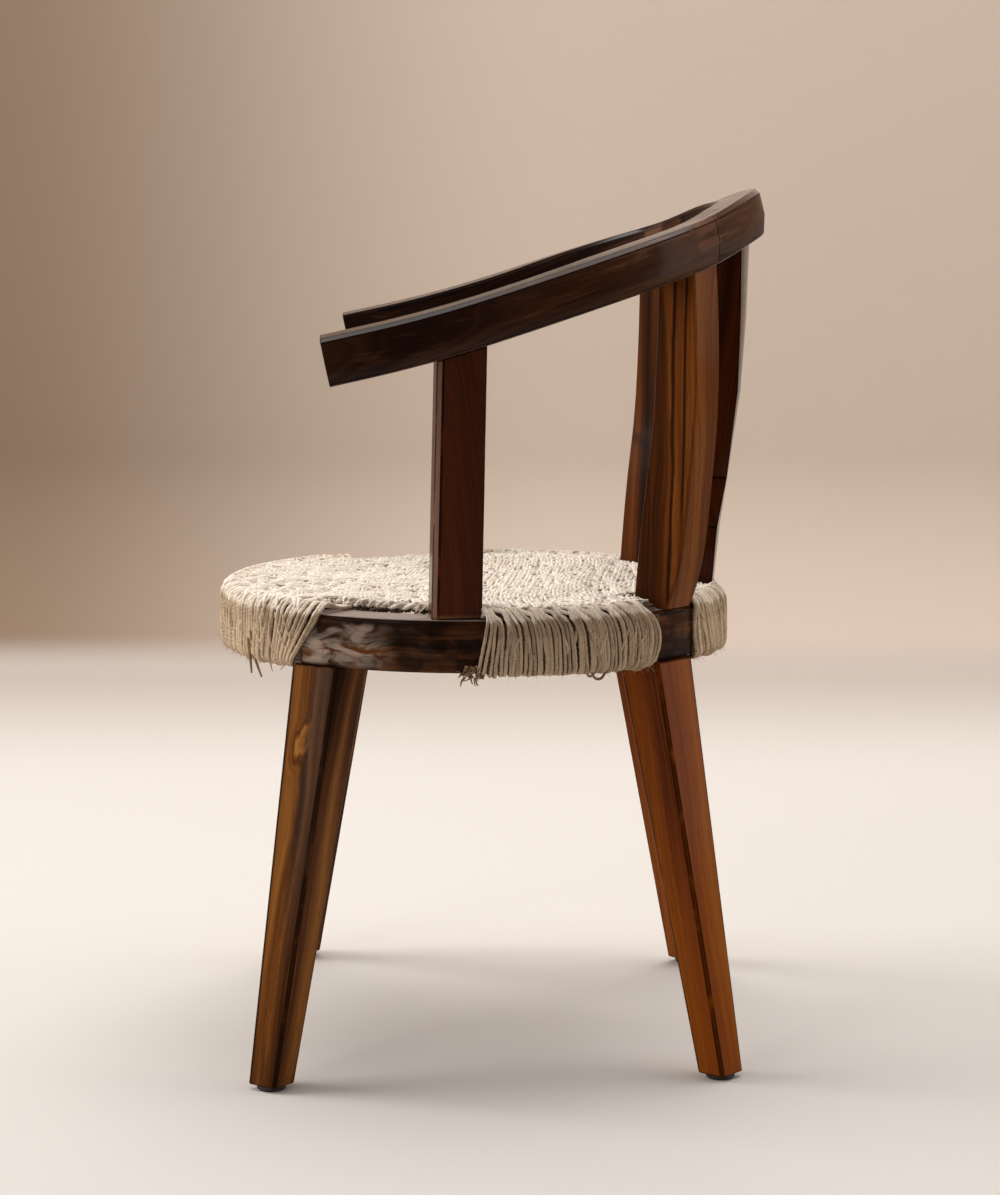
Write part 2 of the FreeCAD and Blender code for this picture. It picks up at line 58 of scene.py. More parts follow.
camera = bpy.data.objects.new("camera", bpy.data.cameras.new("camera"))
camera.data.lens = camera_lens
camera.data.sensor_width = camera_film_width
camera.data.clip_end = camera_range
camera.location = camera_place
view_line = Vector((
    -math.cos(camera_yaw) * math.cos(camera_pitch),
    math.sin(camera_yaw) * math.cos(camera_pitch),
    -math.sin(camera_pitch),
))
camera.rotation_euler = view_line.to_track_quat("-Z", "Y").to_euler()
scene.collection.objects.link(camera)
scene.camera = camera


# Studio: a pale plaster floor that turns up into a beige wall.
# One seamless sheet, lit softly from the left and above, so that the chair's shadow stays faint.
floor_columns = (-9.0, -3.0, 3.0, 9.0)
floor_front = 7.0
wall_start = -2.6
wall_bend = 0.35
wall_bend_steps = 24
wall_height = 6.0
floor_colour = (0.695, 0.662, 0.632, 1)
floor_far_colour = (0.54, 0.485, 0.44, 1)
wall_colour = (0.62, 0.515, 0.435, 1)
wall_shade = (0.265, 0.185, 0.128, 1)


class Maths:
    """A node's output that takes part in plain arithmetic, adding its nodes as it goes."""

    def __init__(self, paint, socket):
        self.paint = paint
        self.socket = socket

    def worked(self, operation, *others):
        return self.paint.node("ShaderNodeMath", {"operation": operation}, [self, *others])

    def __add__(self, other):
        return self.worked("ADD", other)

    def __sub__(self, other):
        return self.worked("SUBTRACT", other)

    def __rsub__(self, other):
        return self.paint.node("ShaderNodeMath", {"operation": "SUBTRACT"}, [other, self])

    def __mul__(self, other):
        return self.worked("MULTIPLY", other)

    __radd__ = __add__
    __rmul__ = __mul__

    def above(self, low, high):
        """0 under low, 1 over high, smooth between. With high under low it runs the other way."""
        values = {"Value": self, "From Min": low, "From Max": high}
        return self.paint.node("ShaderNodeMapRange", {"interpolation_type": "SMOOTHSTEP"}, values)

    def inside(self, low, high, soft):
        """1 between low and high, falling to 0 over a soft edge."""
        return self.above(low - soft, low) * (1 - self.above(high, high + soft))

    def absolute(self):
        return self.worked("ABSOLUTE")

    def root(self):
        return self.worked("POWER", 0.5)

    def capped(self):
        return self.paint.node("ShaderNodeClamp", {}, {"Value": self})


class Paint:
    """The node tree of a material or of the world, with one way to add each node."""

    def __init__(self, owner, shader="Principled BSDF"):
        owner.use_nodes = True
        self.owner = owner
        self.tree = owner.node_tree
        self.shader = self.tree.nodes[shader]

    def node(self, kind, settings, values, out=0):
        """Add a node: its settings first, then the values or links of its sockets."""
        added = self.tree.nodes.new(kind)
        for name, value in settings.items():
            if name == "stops":
                self.set_stops(added.color_ramp, value)
            else:
                setattr(added, name, value)
        sockets = [socket for socket in added.inputs if socket.enabled]
        if isinstance(values, dict):
            by_name = {socket.name: socket for socket in sockets}
            sockets = [by_name[name] for name in values]
            values = values.values()
        for socket, value in zip(sockets, values):
            if isinstance(value, Maths):
                self.tree.links.new(value.socket, socket)
            else:
                socket.default_value = value
        outputs = [socket for socket in added.outputs if socket.enabled]
        return Maths(self, outputs[out])

    def set_stops(self, ramp, stops):
        while len(ramp.elements) < len(stops):
            ramp.elements.new(0.5)
        for element, (place, colour) in zip(ramp.elements, stops):
            element.position = place
            element.color = colour

    def object_place(self):
        """Place in the piece's own space, in metres."""
        return self.node("ShaderNodeTexCoord", {}, {}, out=3)

    def stored_place(self, name):
        return self.node("ShaderNodeAttribute", {"attribute_name": name}, {}, out=1)

    def stored_value(self, name):
        return self.node("ShaderNodeAttribute", {"attribute_name": name}, {}, out=2)

    def axes(self, vector):
        return [self.node("ShaderNodeSeparateXYZ", {}, [vector], out=axis) for axis in range(3)]

    def joined(self, x, y, z):
        return self.node("ShaderNodeCombineXYZ", {}, [x, y, z])

    def stretched(self, vector, factors, offset=(0, 0, 0)):
        scaled = self.node("ShaderNodeVectorMath", {"operation": "MULTIPLY"}, [vector, factors])
        return self.node("ShaderNodeVectorMath", {"operation": "ADD"}, [scaled, offset])

    def noise(self, vector, scale=1.0, detail=2.0, roughness=0.5, distortion=0.0):
        values = {"Vector": vector, "Scale": scale, "Detail": detail}
        values.update({"Roughness": roughness, "Distortion": distortion})
        return self.node("ShaderNodeTexNoise", {}, values)

    def ramp(self, value, stops):
        return self.node("ShaderNodeValToRGB", {"stops": stops}, {"Fac": value})

    def mix(self, factor, low, high):
        return self.node("ShaderNodeMix", {"data_type": "RGBA"}, {"Factor": factor, "A": low, "B": high})

    def bump(self, height, strength, distance):
        values = {"Height": height, "Strength": strength, "Distance": distance}
        return self.node("ShaderNodeBump", {}, values)

    def link(self, name, value):
        """Feed one of the shader's sockets."""
        self.tree.links.new(value.socket, self.shader.inputs[name])

    def fixed(self, name, value):
        """Set one of the shader's sockets to the same value all over."""
        self.shader.inputs[name].default_value = value


def grid_object(name, rows):
    """A smooth sheet through rows of points."""
    mesh = bpy.data.meshes.new(name)
    wide = len(rows[0])
    faces = [
        (r * wide + c, r * wide + c + 1, (r + 1) * wide + c + 1, (r + 1) * wide + c)
        for r in range(len(rows) - 1)
        for c in range(wide - 1)
    ]
    mesh.from_pydata([point for row in rows for point in row], [], faces)
    mesh.shade_smooth()
    made = bpy.data.objects.new(name, mesh)
    scene.collection.objects.link(made)
    return made


def studio_line():
    """Side view of the sweep: along the floor, round the bend, up the wall."""
    line = [(floor_front, 0.0), (wall_start + wall_bend, 0.0)]
    for step in range(1, wall_bend_steps + 1):
        turn = math.radians(90 * step / wall_bend_steps)
        x = wall_start + wall_bend - wall_bend * math.sin(turn)
        line.append((x, wall_bend * (1 - math.cos(turn))))
    line.append((wall_start, wall_height))
    return line


sweep = grid_object("studio_sweep", [[(x, y, z) for y in floor_columns] for x, z in studio_line()])
plaster = Paint(bpy.data.materials.new("studio_plaster"))
plaster_x, plaster_y, plaster_z = plaster.axes(plaster.object_place())
# The wall's colour darkens towards the left: painted shade.
plaster_wall = plaster.mix(plaster_y.above(-0.95, 0.20), wall_shade, wall_colour)
plaster_floor = plaster.mix(plaster_x.above(-2.3, -1.3), floor_far_colour, floor_colour)
plaster.link("Base Color", plaster.mix(plaster_z.above(0.0, 0.05), plaster_floor, plaster_wall))
plaster.fixed("Roughness", 0.9)
plaster.fixed("Specular IOR Level", 0.2)
sweep.data.materials.append(plaster.owner)


def soft_lamp(name, place, target, size, power, colour, spread=180):
    """A soft box that faces a point. Its spread is in degrees; a narrow one lights the chair alone."""
    lamp = bpy.data.lights.new(name, "AREA")
    lamp.shape = "RECTANGLE"
    lamp.size, lamp.size_y = size
    lamp.energy = power
    lamp.spread = math.radians(spread)
    lamp.color = colour
    made = bpy.data.objects.new(name, lamp)
    made.location = place
    made.rotation_euler = (Vector(target) - Vector(place)).to_track_quat("-Z", "Y").to_euler()
    scene.collection.objects.link(made)


soft_lamp("window_left", (-0.5, -4.0, 2.4), (0, 0, 0.45), (2.6, 2.8), 150.0, (1.0, 0.97, 0.94))
soft_lamp("overhead", (-1.0, 0.1, 3.9), (-0.3, 0, 0), (3.2, 3.2), 116.0, (1.0, 0.98, 0.96))
soft_lamp("right_bounce", (-0.4, 4.2, 1.9), (0, 0, 0.45), (4.0, 3.0), 62.0, (1.0, 0.95, 0.90))
soft_lamp("front_fill", (3.6, -2.8, 2.3), (0, 0, 0.5), (1.2, 1.2), 1.6, (1.0, 0.96, 0.92), spread=44)

# The studio's own light: pale above and at the left, dimmer behind the camera.
scene.world = bpy.data.worlds.new("studio")
sky = Paint(scene.world, "Background")
sky_x, sky_y, sky_z = sky.axes(sky.node("ShaderNodeTexCoord", {}, {}))
sky_level = 0.36 - sky_x.above(-0.3, 0.8) * 0.29 - sky_y.above(-0.4, 0.8) * 0.04
sky.link("Strength", sky_level + sky_z.above(0.1, 0.9) * 0.12)
sky.fixed("Color", (0.88, 0.82, 0.77, 1))


# Hardwood pieces: every stick of the frame is a dense dark hardwood with orange figure,
# sawn and planed by hand, its arrises eased, and finished with a glossy brown varnish.
seat_low, seat_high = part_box("woven_seat")
seat_centre = (seat_low + seat_high) / 2
seat_centre.z = 0.0
seat_origin = np.array(seat_centre)
upward = np.array([0.0, 0.0, 1.0])
side_signs = {"left": 1, "right": -1}

# How far an arris is eased, how sharp an edge has to be for that, and what counts as flat or as one point
arris_ease = 0.0014
arris_angle = 24
flat_angle = 0.6
weld_gap = 1e-5

# How far the log's heart lay from each piece, and how many bands of each kind a metre of the log shows
heart_across = 0.09
heart_through = 0.055
broad_bands = 36
middle_bands = 130
fine_bands = 560
thread_bands = 58


def polar(radius, angle, height=0.0):
    """Point at a radius and an angle in degrees about the seat's axis."""
    turn = math.radians(angle)
    return seat_centre + Vector((radius * math.cos(turn), radius * math.sin(turn), height))


def heading(angle):
    """Level direction at an angle in degrees about the seat's axis."""
    return polar(1.0, angle) - seat_centre


def wooden_copy(node, ease):
    """The CAD piece as a new piece with eased arrises, which are marked for painted shade."""
    body = bmesh.new()
    body.from_mesh(nodes[node].data)
    bmesh.ops.remove_doubles(body, verts=body.verts, dist=weld_gap)
    bmesh.ops.dissolve_limit(body, angle_limit=math.radians(flat_angle), verts=body.verts, edges=body.edges)
    limit = math.radians(arris_angle)
    sharp = [edge for edge in body.edges if len(edge.link_faces) == 2 and edge.calc_face_angle(0) > limit]
    eased = bmesh.ops.bevel(
        body, geom=sharp, offset=ease, segments=3, profile=0.5, affect="EDGES", clamp_overlap=True,
    )
    arris_faces = set(eased["faces"])
    body.faces.index_update()
    marked = [float(face in arris_faces) for face in body.faces]
    mesh = bpy.data.meshes.new(node + "_wood")
    body.to_mesh(mesh)
    body.free()
    mesh.shade_smooth()
    arris = mesh.attributes.new("arris", "FLOAT", "FACE")
    arris.data.foreach_set("value", marked)
    outward = mesh.attributes.new("outward", "FLOAT", "FACE")
    for face, item in zip(mesh.polygons, outward.data):
        away = face.center - seat_centre
        away.z = 0
        item.value = face.normal.dot(away.normalized())
    piece = bpy.data.objects.new(node + "_wood", mesh)
    scene.collection.objects.link(piece)
    crisp = piece.modifiers.new("flat_faces", "WEIGHTED_NORMAL")
    crisp.keep_sharp = True
    return piece


def set_grain(piece, place_of):
    """Store where each point lies in its own piece: along the grain, across it, through it."""
    grain = piece.data.attributes.new("grain", "FLOAT_VECTOR", "POINT")
    for point, item in zip(piece.data.vertices, grain.data):
        item.vector = place_of(point.co)


class Figure:
    """The places in a piece, and what the piece's own figure changes in its wood.

    Bend moves the stripes, shift makes the tone paler and polish scales the varnish.
    Black, grey and bare are masks for dark lines, worn varnish and wood without varnish; on the arm posts the
    grey mask is a painted highlight.
    """

    def __init__(self, paint):
        self.paint = paint
        self.place = paint.stored_place("grain")
        self.along, self.across, self.through = paint.axes(self.place)
        self.outward = paint.stored_value("outward")
        self.bend = 0.0
        self.shift = 0.0
        self.polish = 1.0
        self.black = None
        self.grey = None
        self.grey_tone = None
        self.bare = None
        self.bare_tone = None


def hardwood(name, tones, seed, figure=None, stripe=1.0, contrast=1.0, lines=1.0, gloss=0.85, shine=1.16):
    """Striped, varnished hardwood. The stripes are the log's own rings, cut by the piece's faces."""
    paint = Paint(bpy.data.materials.new(name))
    grain = Figure(paint)
    if figure:
        figure(grain)
    offset = (seed * 1.7, seed * 3.1, seed * 0.9)

    def patches(factors, detail=2.0):
        return paint.noise(paint.stretched(grain.place, factors, offset), detail=detail)

    # Distance from the log's heart, which drifts and ripples along the grain
    drift = patches((3.2, 13, 13)) - 0.5
    ripple = patches((14, 60, 60)) - 0.5
    side = grain.across + heart_across
    deep = grain.through + heart_through
    rings = (side * side + deep * deep).root() + drift * 0.024 + ripple * 0.0022 + grain.bend

    def layer(bands, stretch, detail, rough, mark):
        at = paint.joined(rings * bands, grain.along * stretch, seed * 2.3 + mark)
        return paint.noise(at, detail=detail, roughness=rough)

    # Broad and narrow bands, fine fibres, single dark threads and pores
    broad = layer(broad_bands * stripe, 1.1, 2.0, 0.5, 0.0)
    middle = layer(middle_bands * stripe, 2.0, 2.0, 0.5, 11.0)
    fine = layer(fine_bands, 5.0, 2.0, 0.6, 23.0)
    threads = layer(thread_bands * stripe, 0.8, 0.0, 0.5, 31.0)
    line = (1 - (threads - 0.5).absolute().above(0.0, 0.022)) * lines
    pore = 1 - patches((55, 1300, 1300)).above(0.30, 0.42)
    # The tones by band, and over them grey, dark lines, bare wood, pores and painted shade on the arrises
    tone = 0.50 + (broad - 0.5) * (2.4 * contrast) + (middle - 0.5) * contrast + (fine - 0.5) * 0.5
    tone = (tone + grain.shift).capped()
    dark = (*[part * 0.45 for part in tones[0]], 1)
    spacing = 0.76 / (len(tones) - 1)
    colour = paint.ramp(tone, [(0.12 + spacing * step, (*shade, 1)) for step, shade in enumerate(tones)])
    if grain.grey is not None:
        deep_grey = (*[part * 0.35 for part in grain.grey_tone], 1)
        grey = paint.ramp(tone, [(0.1, deep_grey), (0.9, (*grain.grey_tone, 1))])
        colour = paint.mix(grain.grey, colour, grey)
    colour = paint.mix((line * 0.75).capped(), colour, dark)
    if grain.black is not None:
        colour = paint.mix(grain.black.capped(), colour, dark)
    if grain.bare is not None:
        patchy = (grain.bare * (0.75 + middle * 0.5)).capped()
        colour = paint.mix(patchy, colour, (*grain.bare_tone, 1))
    colour = paint.mix(pore * 0.40, colour, dark)
    # Painted shade darkens the eased arrises, except in noisy patches where it is broken.
    arris_shade_breaks = patches((35, 90, 90), 3.0).above(0.52, 0.68)
    arris = paint.stored_value("arris")
    paint.link("Base Color", paint.mix(arris * (0.80 - arris_shade_breaks * 0.75), colour, dark))
    # Varnish that is cloudy in places, over wood that shows its maker's tool marks
    cloudy = patches((6, 9, 9), 3.0) - 0.5
    paint.link("Roughness", 0.38 + cloudy * 0.25 + pore * 0.12)
    coat = (gloss + cloudy * 0.4) * (1 - arris * 0.7) * grain.polish
    paint.link("Coat Weight", coat.capped())
    tool_marks = patches((8, 45, 45))
    relief = tool_marks * 0.7 - pore * 0.08 - line * 0.10 + fine * 0.05
    paint.link("Normal", paint.bump(relief, 0.35, 0.0011))
    paint.fixed("Coat Roughness", 0.13)
    paint.fixed("Coat IOR", shine)
    paint.fixed("Specular IOR Level", 0.02)
    return paint.owner


def finish_wood(node, place_of, ease=arris_ease, **wood):
    """Dress one CAD piece in a hardwood of its own."""
    piece = wooden_copy(node, ease)
    set_grain(piece, place_of)
    piece.data.materials.append(hardwood(node + "_wood", **wood))
    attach(piece, "root")
    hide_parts(node)


# Legs: four square tapered sticks, splayed outwards, tenoned up into the ring.
# Each shows long stripes from top to foot; the front ones have a knot under the top.
leg_top_radius = 0.2245
leg_foot_radius = 0.321
leg_angles = {"front": (-37.5, -36.4), "rear": (49.5, 45.8)}
leg_top_height = 0.388
leg_half_width = 0.0272
leg_narrowing = 0.0243
leg_brown = ((0.028, 0.009, 0.002), (0.110, 0.034, 0.006), (0.225, 0.082, 0.015), (0.340, 0.145, 0.034))
leg_red = ((0.045, 0.009, 0.001), (0.165, 0.034, 0.003), (0.255, 0.062, 0.005), (0.320, 0.098, 0.011))
knot_down = 0.075
knot_across = -0.006
knot_through = 0.022


def leg_grain(side, top_angle, foot_angle):
    """Places in a leg: down from its top, across its width, through its depth."""
    top = polar(leg_top_radius, top_angle, leg_top_height)
    foot = polar(leg_foot_radius, foot_angle)
    across = heading(top_angle + 90)
    through = heading(top_angle)

    def place_of(point):
        mirrored = Vector((point.x * side, point.y, point.z))
        share = (top.z - mirrored.z) / (top.z - foot.z)
        offset = mirrored - top.lerp(foot, share)
        return (share * (foot - top).length, offset.dot(across), offset.dot(through))

    return place_of


def front_leg_figure(grain):
    """A grey-brown band beside the outer arris, orange outside it, and a knot under the top."""
    down, across, through = grain.along, grain.across, grain.through
    paint = grain.paint
    outer = grain.outward.above(0.55, 0.65)
    ragged = paint.noise(paint.stretched(grain.place, (45, 150, 150)), detail=3.0) - 0.5
    beside = (across + ragged * 0.010).above(-0.004, 0.007) * outer
    from_knot = across - knot_across
    below_knot = (down - knot_down) * 0.60 + from_knot * 0.35
    spot = paint.joined(below_knot, from_knot, (through - knot_through) * 0.4)
    away = paint.node("ShaderNodeVectorMath", {"operation": "LENGTH"}, [spot]) + ragged * 0.012
    swirl = 1 - away.above(0.0, 0.017)
    knot = 1 - away.above(0.002, 0.010)
    # The dark strip along the outer face's edge is painted shade.
    from_edge = across + leg_half_width - down * leg_narrowing
    painted_edge_shade = (1 - from_edge.above(0.0015, 0.0065)) * outer
    # The paler strip on the side face is a painted highlight.
    painted_side_highlight = (1 - outer) * (0.008 - through).above(-0.004, 0.012)
    # The darkening under the ring is painted shade.
    painted_shade_under_ring = (1 - outer) * (1 - down.above(0.02, 0.17))
    grain.bend = swirl * 0.016
    grain.polish = 0.7
    paler = outer * 0.16 - 0.04 + knot * 0.15 + painted_side_highlight * 0.20
    grain.shift = paler - painted_edge_shade * 0.60 - beside * 0.26 - painted_shade_under_ring * 0.24
    grain.grey = beside * (1 - down.above(0.10, 0.34)) * (0.65 - knot * 0.6)
    grain.grey_tone = (0.120, 0.070, 0.046)


def rear_leg_figure(grain):
    """Redder towards the top, more orange towards the foot."""
    grain.shift = grain.along.above(0.05, 0.34) * 0.16 + 0.04
    grain.polish = 0.55


leg_woods = {
    "front": {"tones": leg_brown, "figure": front_leg_figure, "stripe": 1.3, "contrast": 0.8, "lines": 0.0},
    "rear": {"tones": leg_red, "figure": rear_leg_figure, "contrast": 0.42, "lines": 0.12},
}
for leg_row, (leg_end, leg_wood) in enumerate(leg_woods.items()):
    for leg_side, leg_sign in side_signs.items():
        leg_place = leg_grain(leg_sign, *leg_angles[leg_end])
        finish_wood("leg_" + leg_end + "_" + leg_side, leg_place, seed=3 + leg_row * 5 + leg_sign, **leg_wood)


# Seat ring: five curved blocks, half-lapped and pegged into a hoop.
# The cord hides most of it; between the windings its faces are worn and scuffed.
ring_outer_radius = 0.248
ring_top_face = 0.437
ring_tones = ((0.005, 0.002, 0.001), (0.018, 0.006, 0.002), (0.046, 0.014, 0.004), (0.120, 0.040, 0.011))
ring_names = [name for name in sorted(nodes) if name.startswith("ring_") and name != "ring_dowels"]


def ring_grain(point):
    """Places in the ring: along the hoop from the middle of its back, up, and away from its middle."""
    flat = point - seat_centre
    return (math.atan2(flat.x, flat.y) * ring_outer_radius, point.z, math.hypot(flat.x, flat.y))


def ring_figure(grain):
    """Grey scuffs where hands and heels have worn the varnish, redder wood, and a bare top."""
    paint = grain.paint
    scuffs = paint.stretched(grain.place, (24, 50, 50), (-18.3, 0.2, 0.7))
    patch = paint.noise(scuffs, detail=3.0, roughness=0.55, distortion=1.3)
    toward_front = grain.along.absolute().above(0.461, 0.497)
    on_top = grain.across.above(ring_top_face - 0.0008, ring_top_face - 0.0002)
    mid_height = grain.across.inside(0.3945, 0.4270, 0.0070)
    scuffed = (patch + toward_front * 0.03).above(0.40, 0.60)
    grain.grey = scuffed * (0.05 + toward_front * 0.95) * mid_height
    grain.grey_tone = (0.350, 0.262, 0.205)
    grain.bare = on_top * 0.85
    grain.bare_tone = (0.40, 0.32, 0.28)
    redder = paint.noise(paint.stretched(grain.place, (30, 60, 60), (-20.0, 1.2, 0.7)))
    grain.shift = redder.above(0.42, 0.62) * 0.34 - 0.14
    grain.polish = 0.5 - on_top * 0.5


ring_wood = {"tones": ring_tones, "figure": ring_figure, "contrast": 0.7, "lines": 0.15, "gloss": 0.8}
for ring_row, ring_name in enumerate(ring_names):
    finish_wood(ring_name, ring_grain, seed=21 + ring_row, **ring_wood)


# Arm posts: one stout square stick under each arm, tenoned into the ring and the arm.
# The outer front corner is planed off. Dark red-brown, with a straight, quiet figure.
arm_post_angle = -4.9
arm_post_radius = 0.2245
arm_post_tones = ((0.012, 0.002, 0.0006), (0.040, 0.007, 0.001), (0.072, 0.013, 0.002), (0.115, 0.028, 0.005))


def upright_grain(side, angle, radius):
    """Places in an upright stick: up it, across it, through it."""
    middle = polar(radius, angle)
    across = heading(angle + 90)
    through = heading(angle)

    def place_of(point):
        offset = Vector((point.x * side, point.y, point.z)) - middle
        return (point.z, offset.dot(across), offset.dot(through))

    return place_of


def finish_posts(name, angle, radius, seed, **wood):
    """Dress the left and the right post of one kind, which mirror each other."""
    for side, sign in side_signs.items():
        finish_wood(name + "_" + side, upright_grain(sign, angle, radius), seed=seed + sign, **wood)


def arm_post_figure(grain):
    """A painted highlight pales the planed corner, and the last bit above the ring has paled."""
    planed_highlight = grain.outward.inside(0.40, 0.85, 0.08)
    foot = 1 - grain.along.above(0.4395, 0.4425)
    # The grey tone on the planed corner is a painted highlight.
    grain.grey = planed_highlight * 0.75
    grain.grey_tone = (0.300, 0.170, 0.120)
    grain.bare = foot * 0.8
    grain.bare_tone = (0.170, 0.070, 0.026)


arm_post_wood = {"tones": arm_post_tones, "figure": arm_post_figure, "contrast": 0.45, "lines": 0.2}
finish_posts("arm_post", arm_post_angle, arm_post_radius, 31, **arm_post_wood)


# Rear posts: sawn from a thick plank to a swelling curve, one over each rear leg, tenoned at both ends.
# The side face shows black lines, and the outer one is plain and orange brown.
rear_post_angle = 51.0
rear_post_radius = 0.235
rear_post_tones = ((0.012, 0.004, 0.001), (0.065, 0.017, 0.003), (0.135, 0.037, 0.006), (0.230, 0.075, 0.014))


def rear_post_figure(grain):
    """The outer face is a little brighter, and the side face carries long black lines."""
    up, through = grain.along, grain.through
    outer = grain.outward.above(0.45, 0.60)
    wander = grain.paint.noise(grain.paint.stretched(grain.place, (9, 22, 22)), detail=3.0)
    waver = (wander - 0.5) * 0.010
    lean = (up - 0.57) * 0.018
    first = (through + waver - lean).inside(0.0150, 0.0168, 0.0022)
    second = (through + waver * 0.6 - lean).inside(0.0285, 0.0296, 0.0020) * up.above(0.48, 0.56)
    third = (through + waver * 1.3).inside(-0.0100, -0.0096, 0.0012) * 0.6
    grain.black = (first + second + third) * (1 - outer) * 0.85
    grain.shift = outer * 0.01 - 0.02 - (1 - outer) * (1 - through.above(0.004, 0.012)) * 0.12
    grain.polish = 0.35


rear_post_wood = {"tones": rear_post_tones, "figure": rear_post_figure, "contrast": 0.6, "lines": 0.15}
finish_posts("rear_post", rear_post_angle, rear_post_radius, 41, **rear_post_wood)


# Back splat: a bent board with a notched waist, let into the ring and the crest.
# It is the darkest of the uprights, with hardly any stripes.
splat_angle = 90.0
splat_radius = 0.235
splat_tones = ((0.008, 0.002, 0.0006), (0.028, 0.006, 0.001), (0.052, 0.011, 0.002), (0.080, 0.020, 0.005))
splat_place = upright_grain(1, splat_angle, splat_radius)
finish_wood("back_splat", splat_place, tones=splat_tones, seed=51, contrast=0.45, lines=0.15)


# Horseshoe rail: a crest and two arms, sawn to one rising curve and joined with stepped laps.
# The darkest wood of the chair, with brown streaks that follow its slope.
rail_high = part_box("crest_rail")[1]
arm_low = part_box("arm_left")[0]
rail_radius = 0.268
rail_centre = Vector((0.0, rail_high.y - rail_radius, 0.0))
rail_tones = ((0.006, 0.002, 0.001), (0.022, 0.007, 0.003), (0.062, 0.024, 0.011), (0.150, 0.066, 0.033))
rail_eases = {"arm_left": 0.0034, "arm_right": 0.0034, "crest_rail": 0.0026}
rail_step = 0.02


def rail_along(point):
    """Distance along the rail from the middle of its back."""
    flat = point - rail_centre
    turn = math.atan2(abs(flat.x), flat.y)
    return rail_radius * min(turn, math.pi / 2) + max(0.0, -flat.y)


rail_floor = {}
for rail_node in ("crest_rail", "arm_left"):
    for rail_point in nodes[rail_node].data.vertices:
        rail_bin = round(rail_along(rail_point.co) / rail_step)
        rail_floor[rail_bin] = min(rail_floor.get(rail_bin, rail_high.z), rail_point.co.z)


def rail_underside(along):
    """Height of the rail's underside at a distance along it."""
    low = min(int(along / rail_step), max(rail_floor) - 1)
    share = along / rail_step - low
    return rail_floor.get(low, rail_high.z) * (1 - share) + rail_floor.get(low + 1, arm_low.z) * share


def rail_grain(point):
    """Places in the rail: along it, up from its underside, and away from its middle."""
    along = rail_along(point)
    flat = point - rail_centre
    side = 1 if point.x >= 0 else -1
    return (along * side, point.z - rail_underside(along), math.hypot(flat.x, max(flat.y, 0)))


def rail_figure(grain):
    """Nearly black along the arms, warm brown above grey towards the crest, dark on the inside."""
    paint = grain.paint
    from_back = grain.along.absolute()
    toward_back = 1 - from_back.above(0.16, 0.34)
    upper = grain.across.above(0.016, 0.028)
    inner_face = 1 - grain.outward.above(-0.5, -0.2)
    outer_face = grain.outward.above(0.6, 0.8)
    streaky = paint.stretched(grain.place, (9, 120, 120), (1.4, 0.2, 0.7))
    streaks = paint.noise(streaky, detail=3.0, roughness=0.6)
    tan = from_back.inside(0.180, 0.200, 0.010) * upper * streaks.above(0.35, 0.55)
    brown = toward_back * 0.16 + streaks.above(0.52, 0.72) * 0.26 + tan * 0.35
    grain.shift = brown - 0.16 - inner_face * 0.30
    grain.grey = toward_back * (1 - upper) * streaks.above(0.34, 0.5) * 0.7
    grain.grey_tone = (0.088, 0.058, 0.045)
    grain.polish = 1 - toward_back * outer_face


rail_wood = {"tones": rail_tones, "figure": rail_figure, "contrast": 0.7, "lines": 0.3, "shine": 1.3}
for rail_row, (rail_name, rail_ease) in enumerate(rail_eases.items()):
    finish_wood(rail_name, rail_grain, rail_ease, seed=61 + rail_row * 4, **rail_wood)


# Windings: natural two-ply cord, wound turn beside turn round the ring in five stretches.
# Each stretch is one unbroken strand, pulled askew over the shoulder and at its ends.
# It hides cords that are laid along the ring, and short lengths cross it outside.
cord_radius = 0.00185
cord_sides = 7
thin_cord_sides = 6
row_margin = 0.06

# A turn's way round the ring's section
wind_outer = 0.2503
wind_inner = 0.1988
wind_low = 0.3860
wind_shoulder = 0.0125
wind_shoulder_low = 0.4340
wind_corner = 0.008
wind_corner_top = 0.394
wind_turn_pitch = 0.0037
wind_steps = 84
wind_under = 0.393

# The heart of the ring's section, which every turn winds about
wind_heart = 0.226
wind_heart_low = 0.398
wind_heart_high = 0.432

# How far turns stray from their places: by groups, alone, along each turn and over the shoulder
wind_shag = 1.1
stray_together = 0.0012
stray_alone = 0.00060
stray_along = 0.00065
stray_on_shoulder = 0.0016

# How far turns stand out or hang down, how they differ in thickness, and how every second one stands off
stray_outward = 0.00045
stray_below = 0.0008
stray_thickness = 0.09
stagger_outside = 0.0003
stagger_inside = 0.0008

# Openings on the shoulder, in degrees: how far turns part, where most, and how that fades
opening_push = 0.62
opening_edge = 0.4
opening_fade = 1.3

# The weave's height, below which the cord is in shade, and the cords' lightest and darkest tones
weave_level = 0.4462
cord_pale = (0.865, 0.790, 0.690)
cord_brown = (0.36, 0.24, 0.15)
# The worn tones are darker from dirt and from painted shade on the windings' sides; the tones above them are
# cleaner and paler as painted light on the shoulder's top.
worn_shaded_pale = (0.655, 0.495, 0.335)
worn_shaded_brown = (0.18, 0.110, 0.06)
clean_lit_pale = (0.91, 0.79, 0.65)
clean_lit_brown = (0.42, 0.29, 0.19)
# The inner tones are dark partly from dirt and mostly as painted shade where these cords show through holes
# and gaps.
inner_dirty_shaded_pale = (0.135, 0.088, 0.052)
inner_dirty_shaded_brown = (0.050, 0.030, 0.017)
end_pale = (0.34, 0.215, 0.115)
end_brown = (0.09, 0.048, 0.022)


def outward(turn):
    """Level directions from the seat's axis, by angles in radians."""
    return np.stack([np.cos(turn), np.sin(turn), np.zeros(len(turn))], 1)


def round_seat(turn, radius, height):
    """Points about the seat's axis, by angles in radians."""
    points = outward(turn) * np.reshape(radius, (-1, 1)) + seat_origin
    points[:, 2] += height
    return points


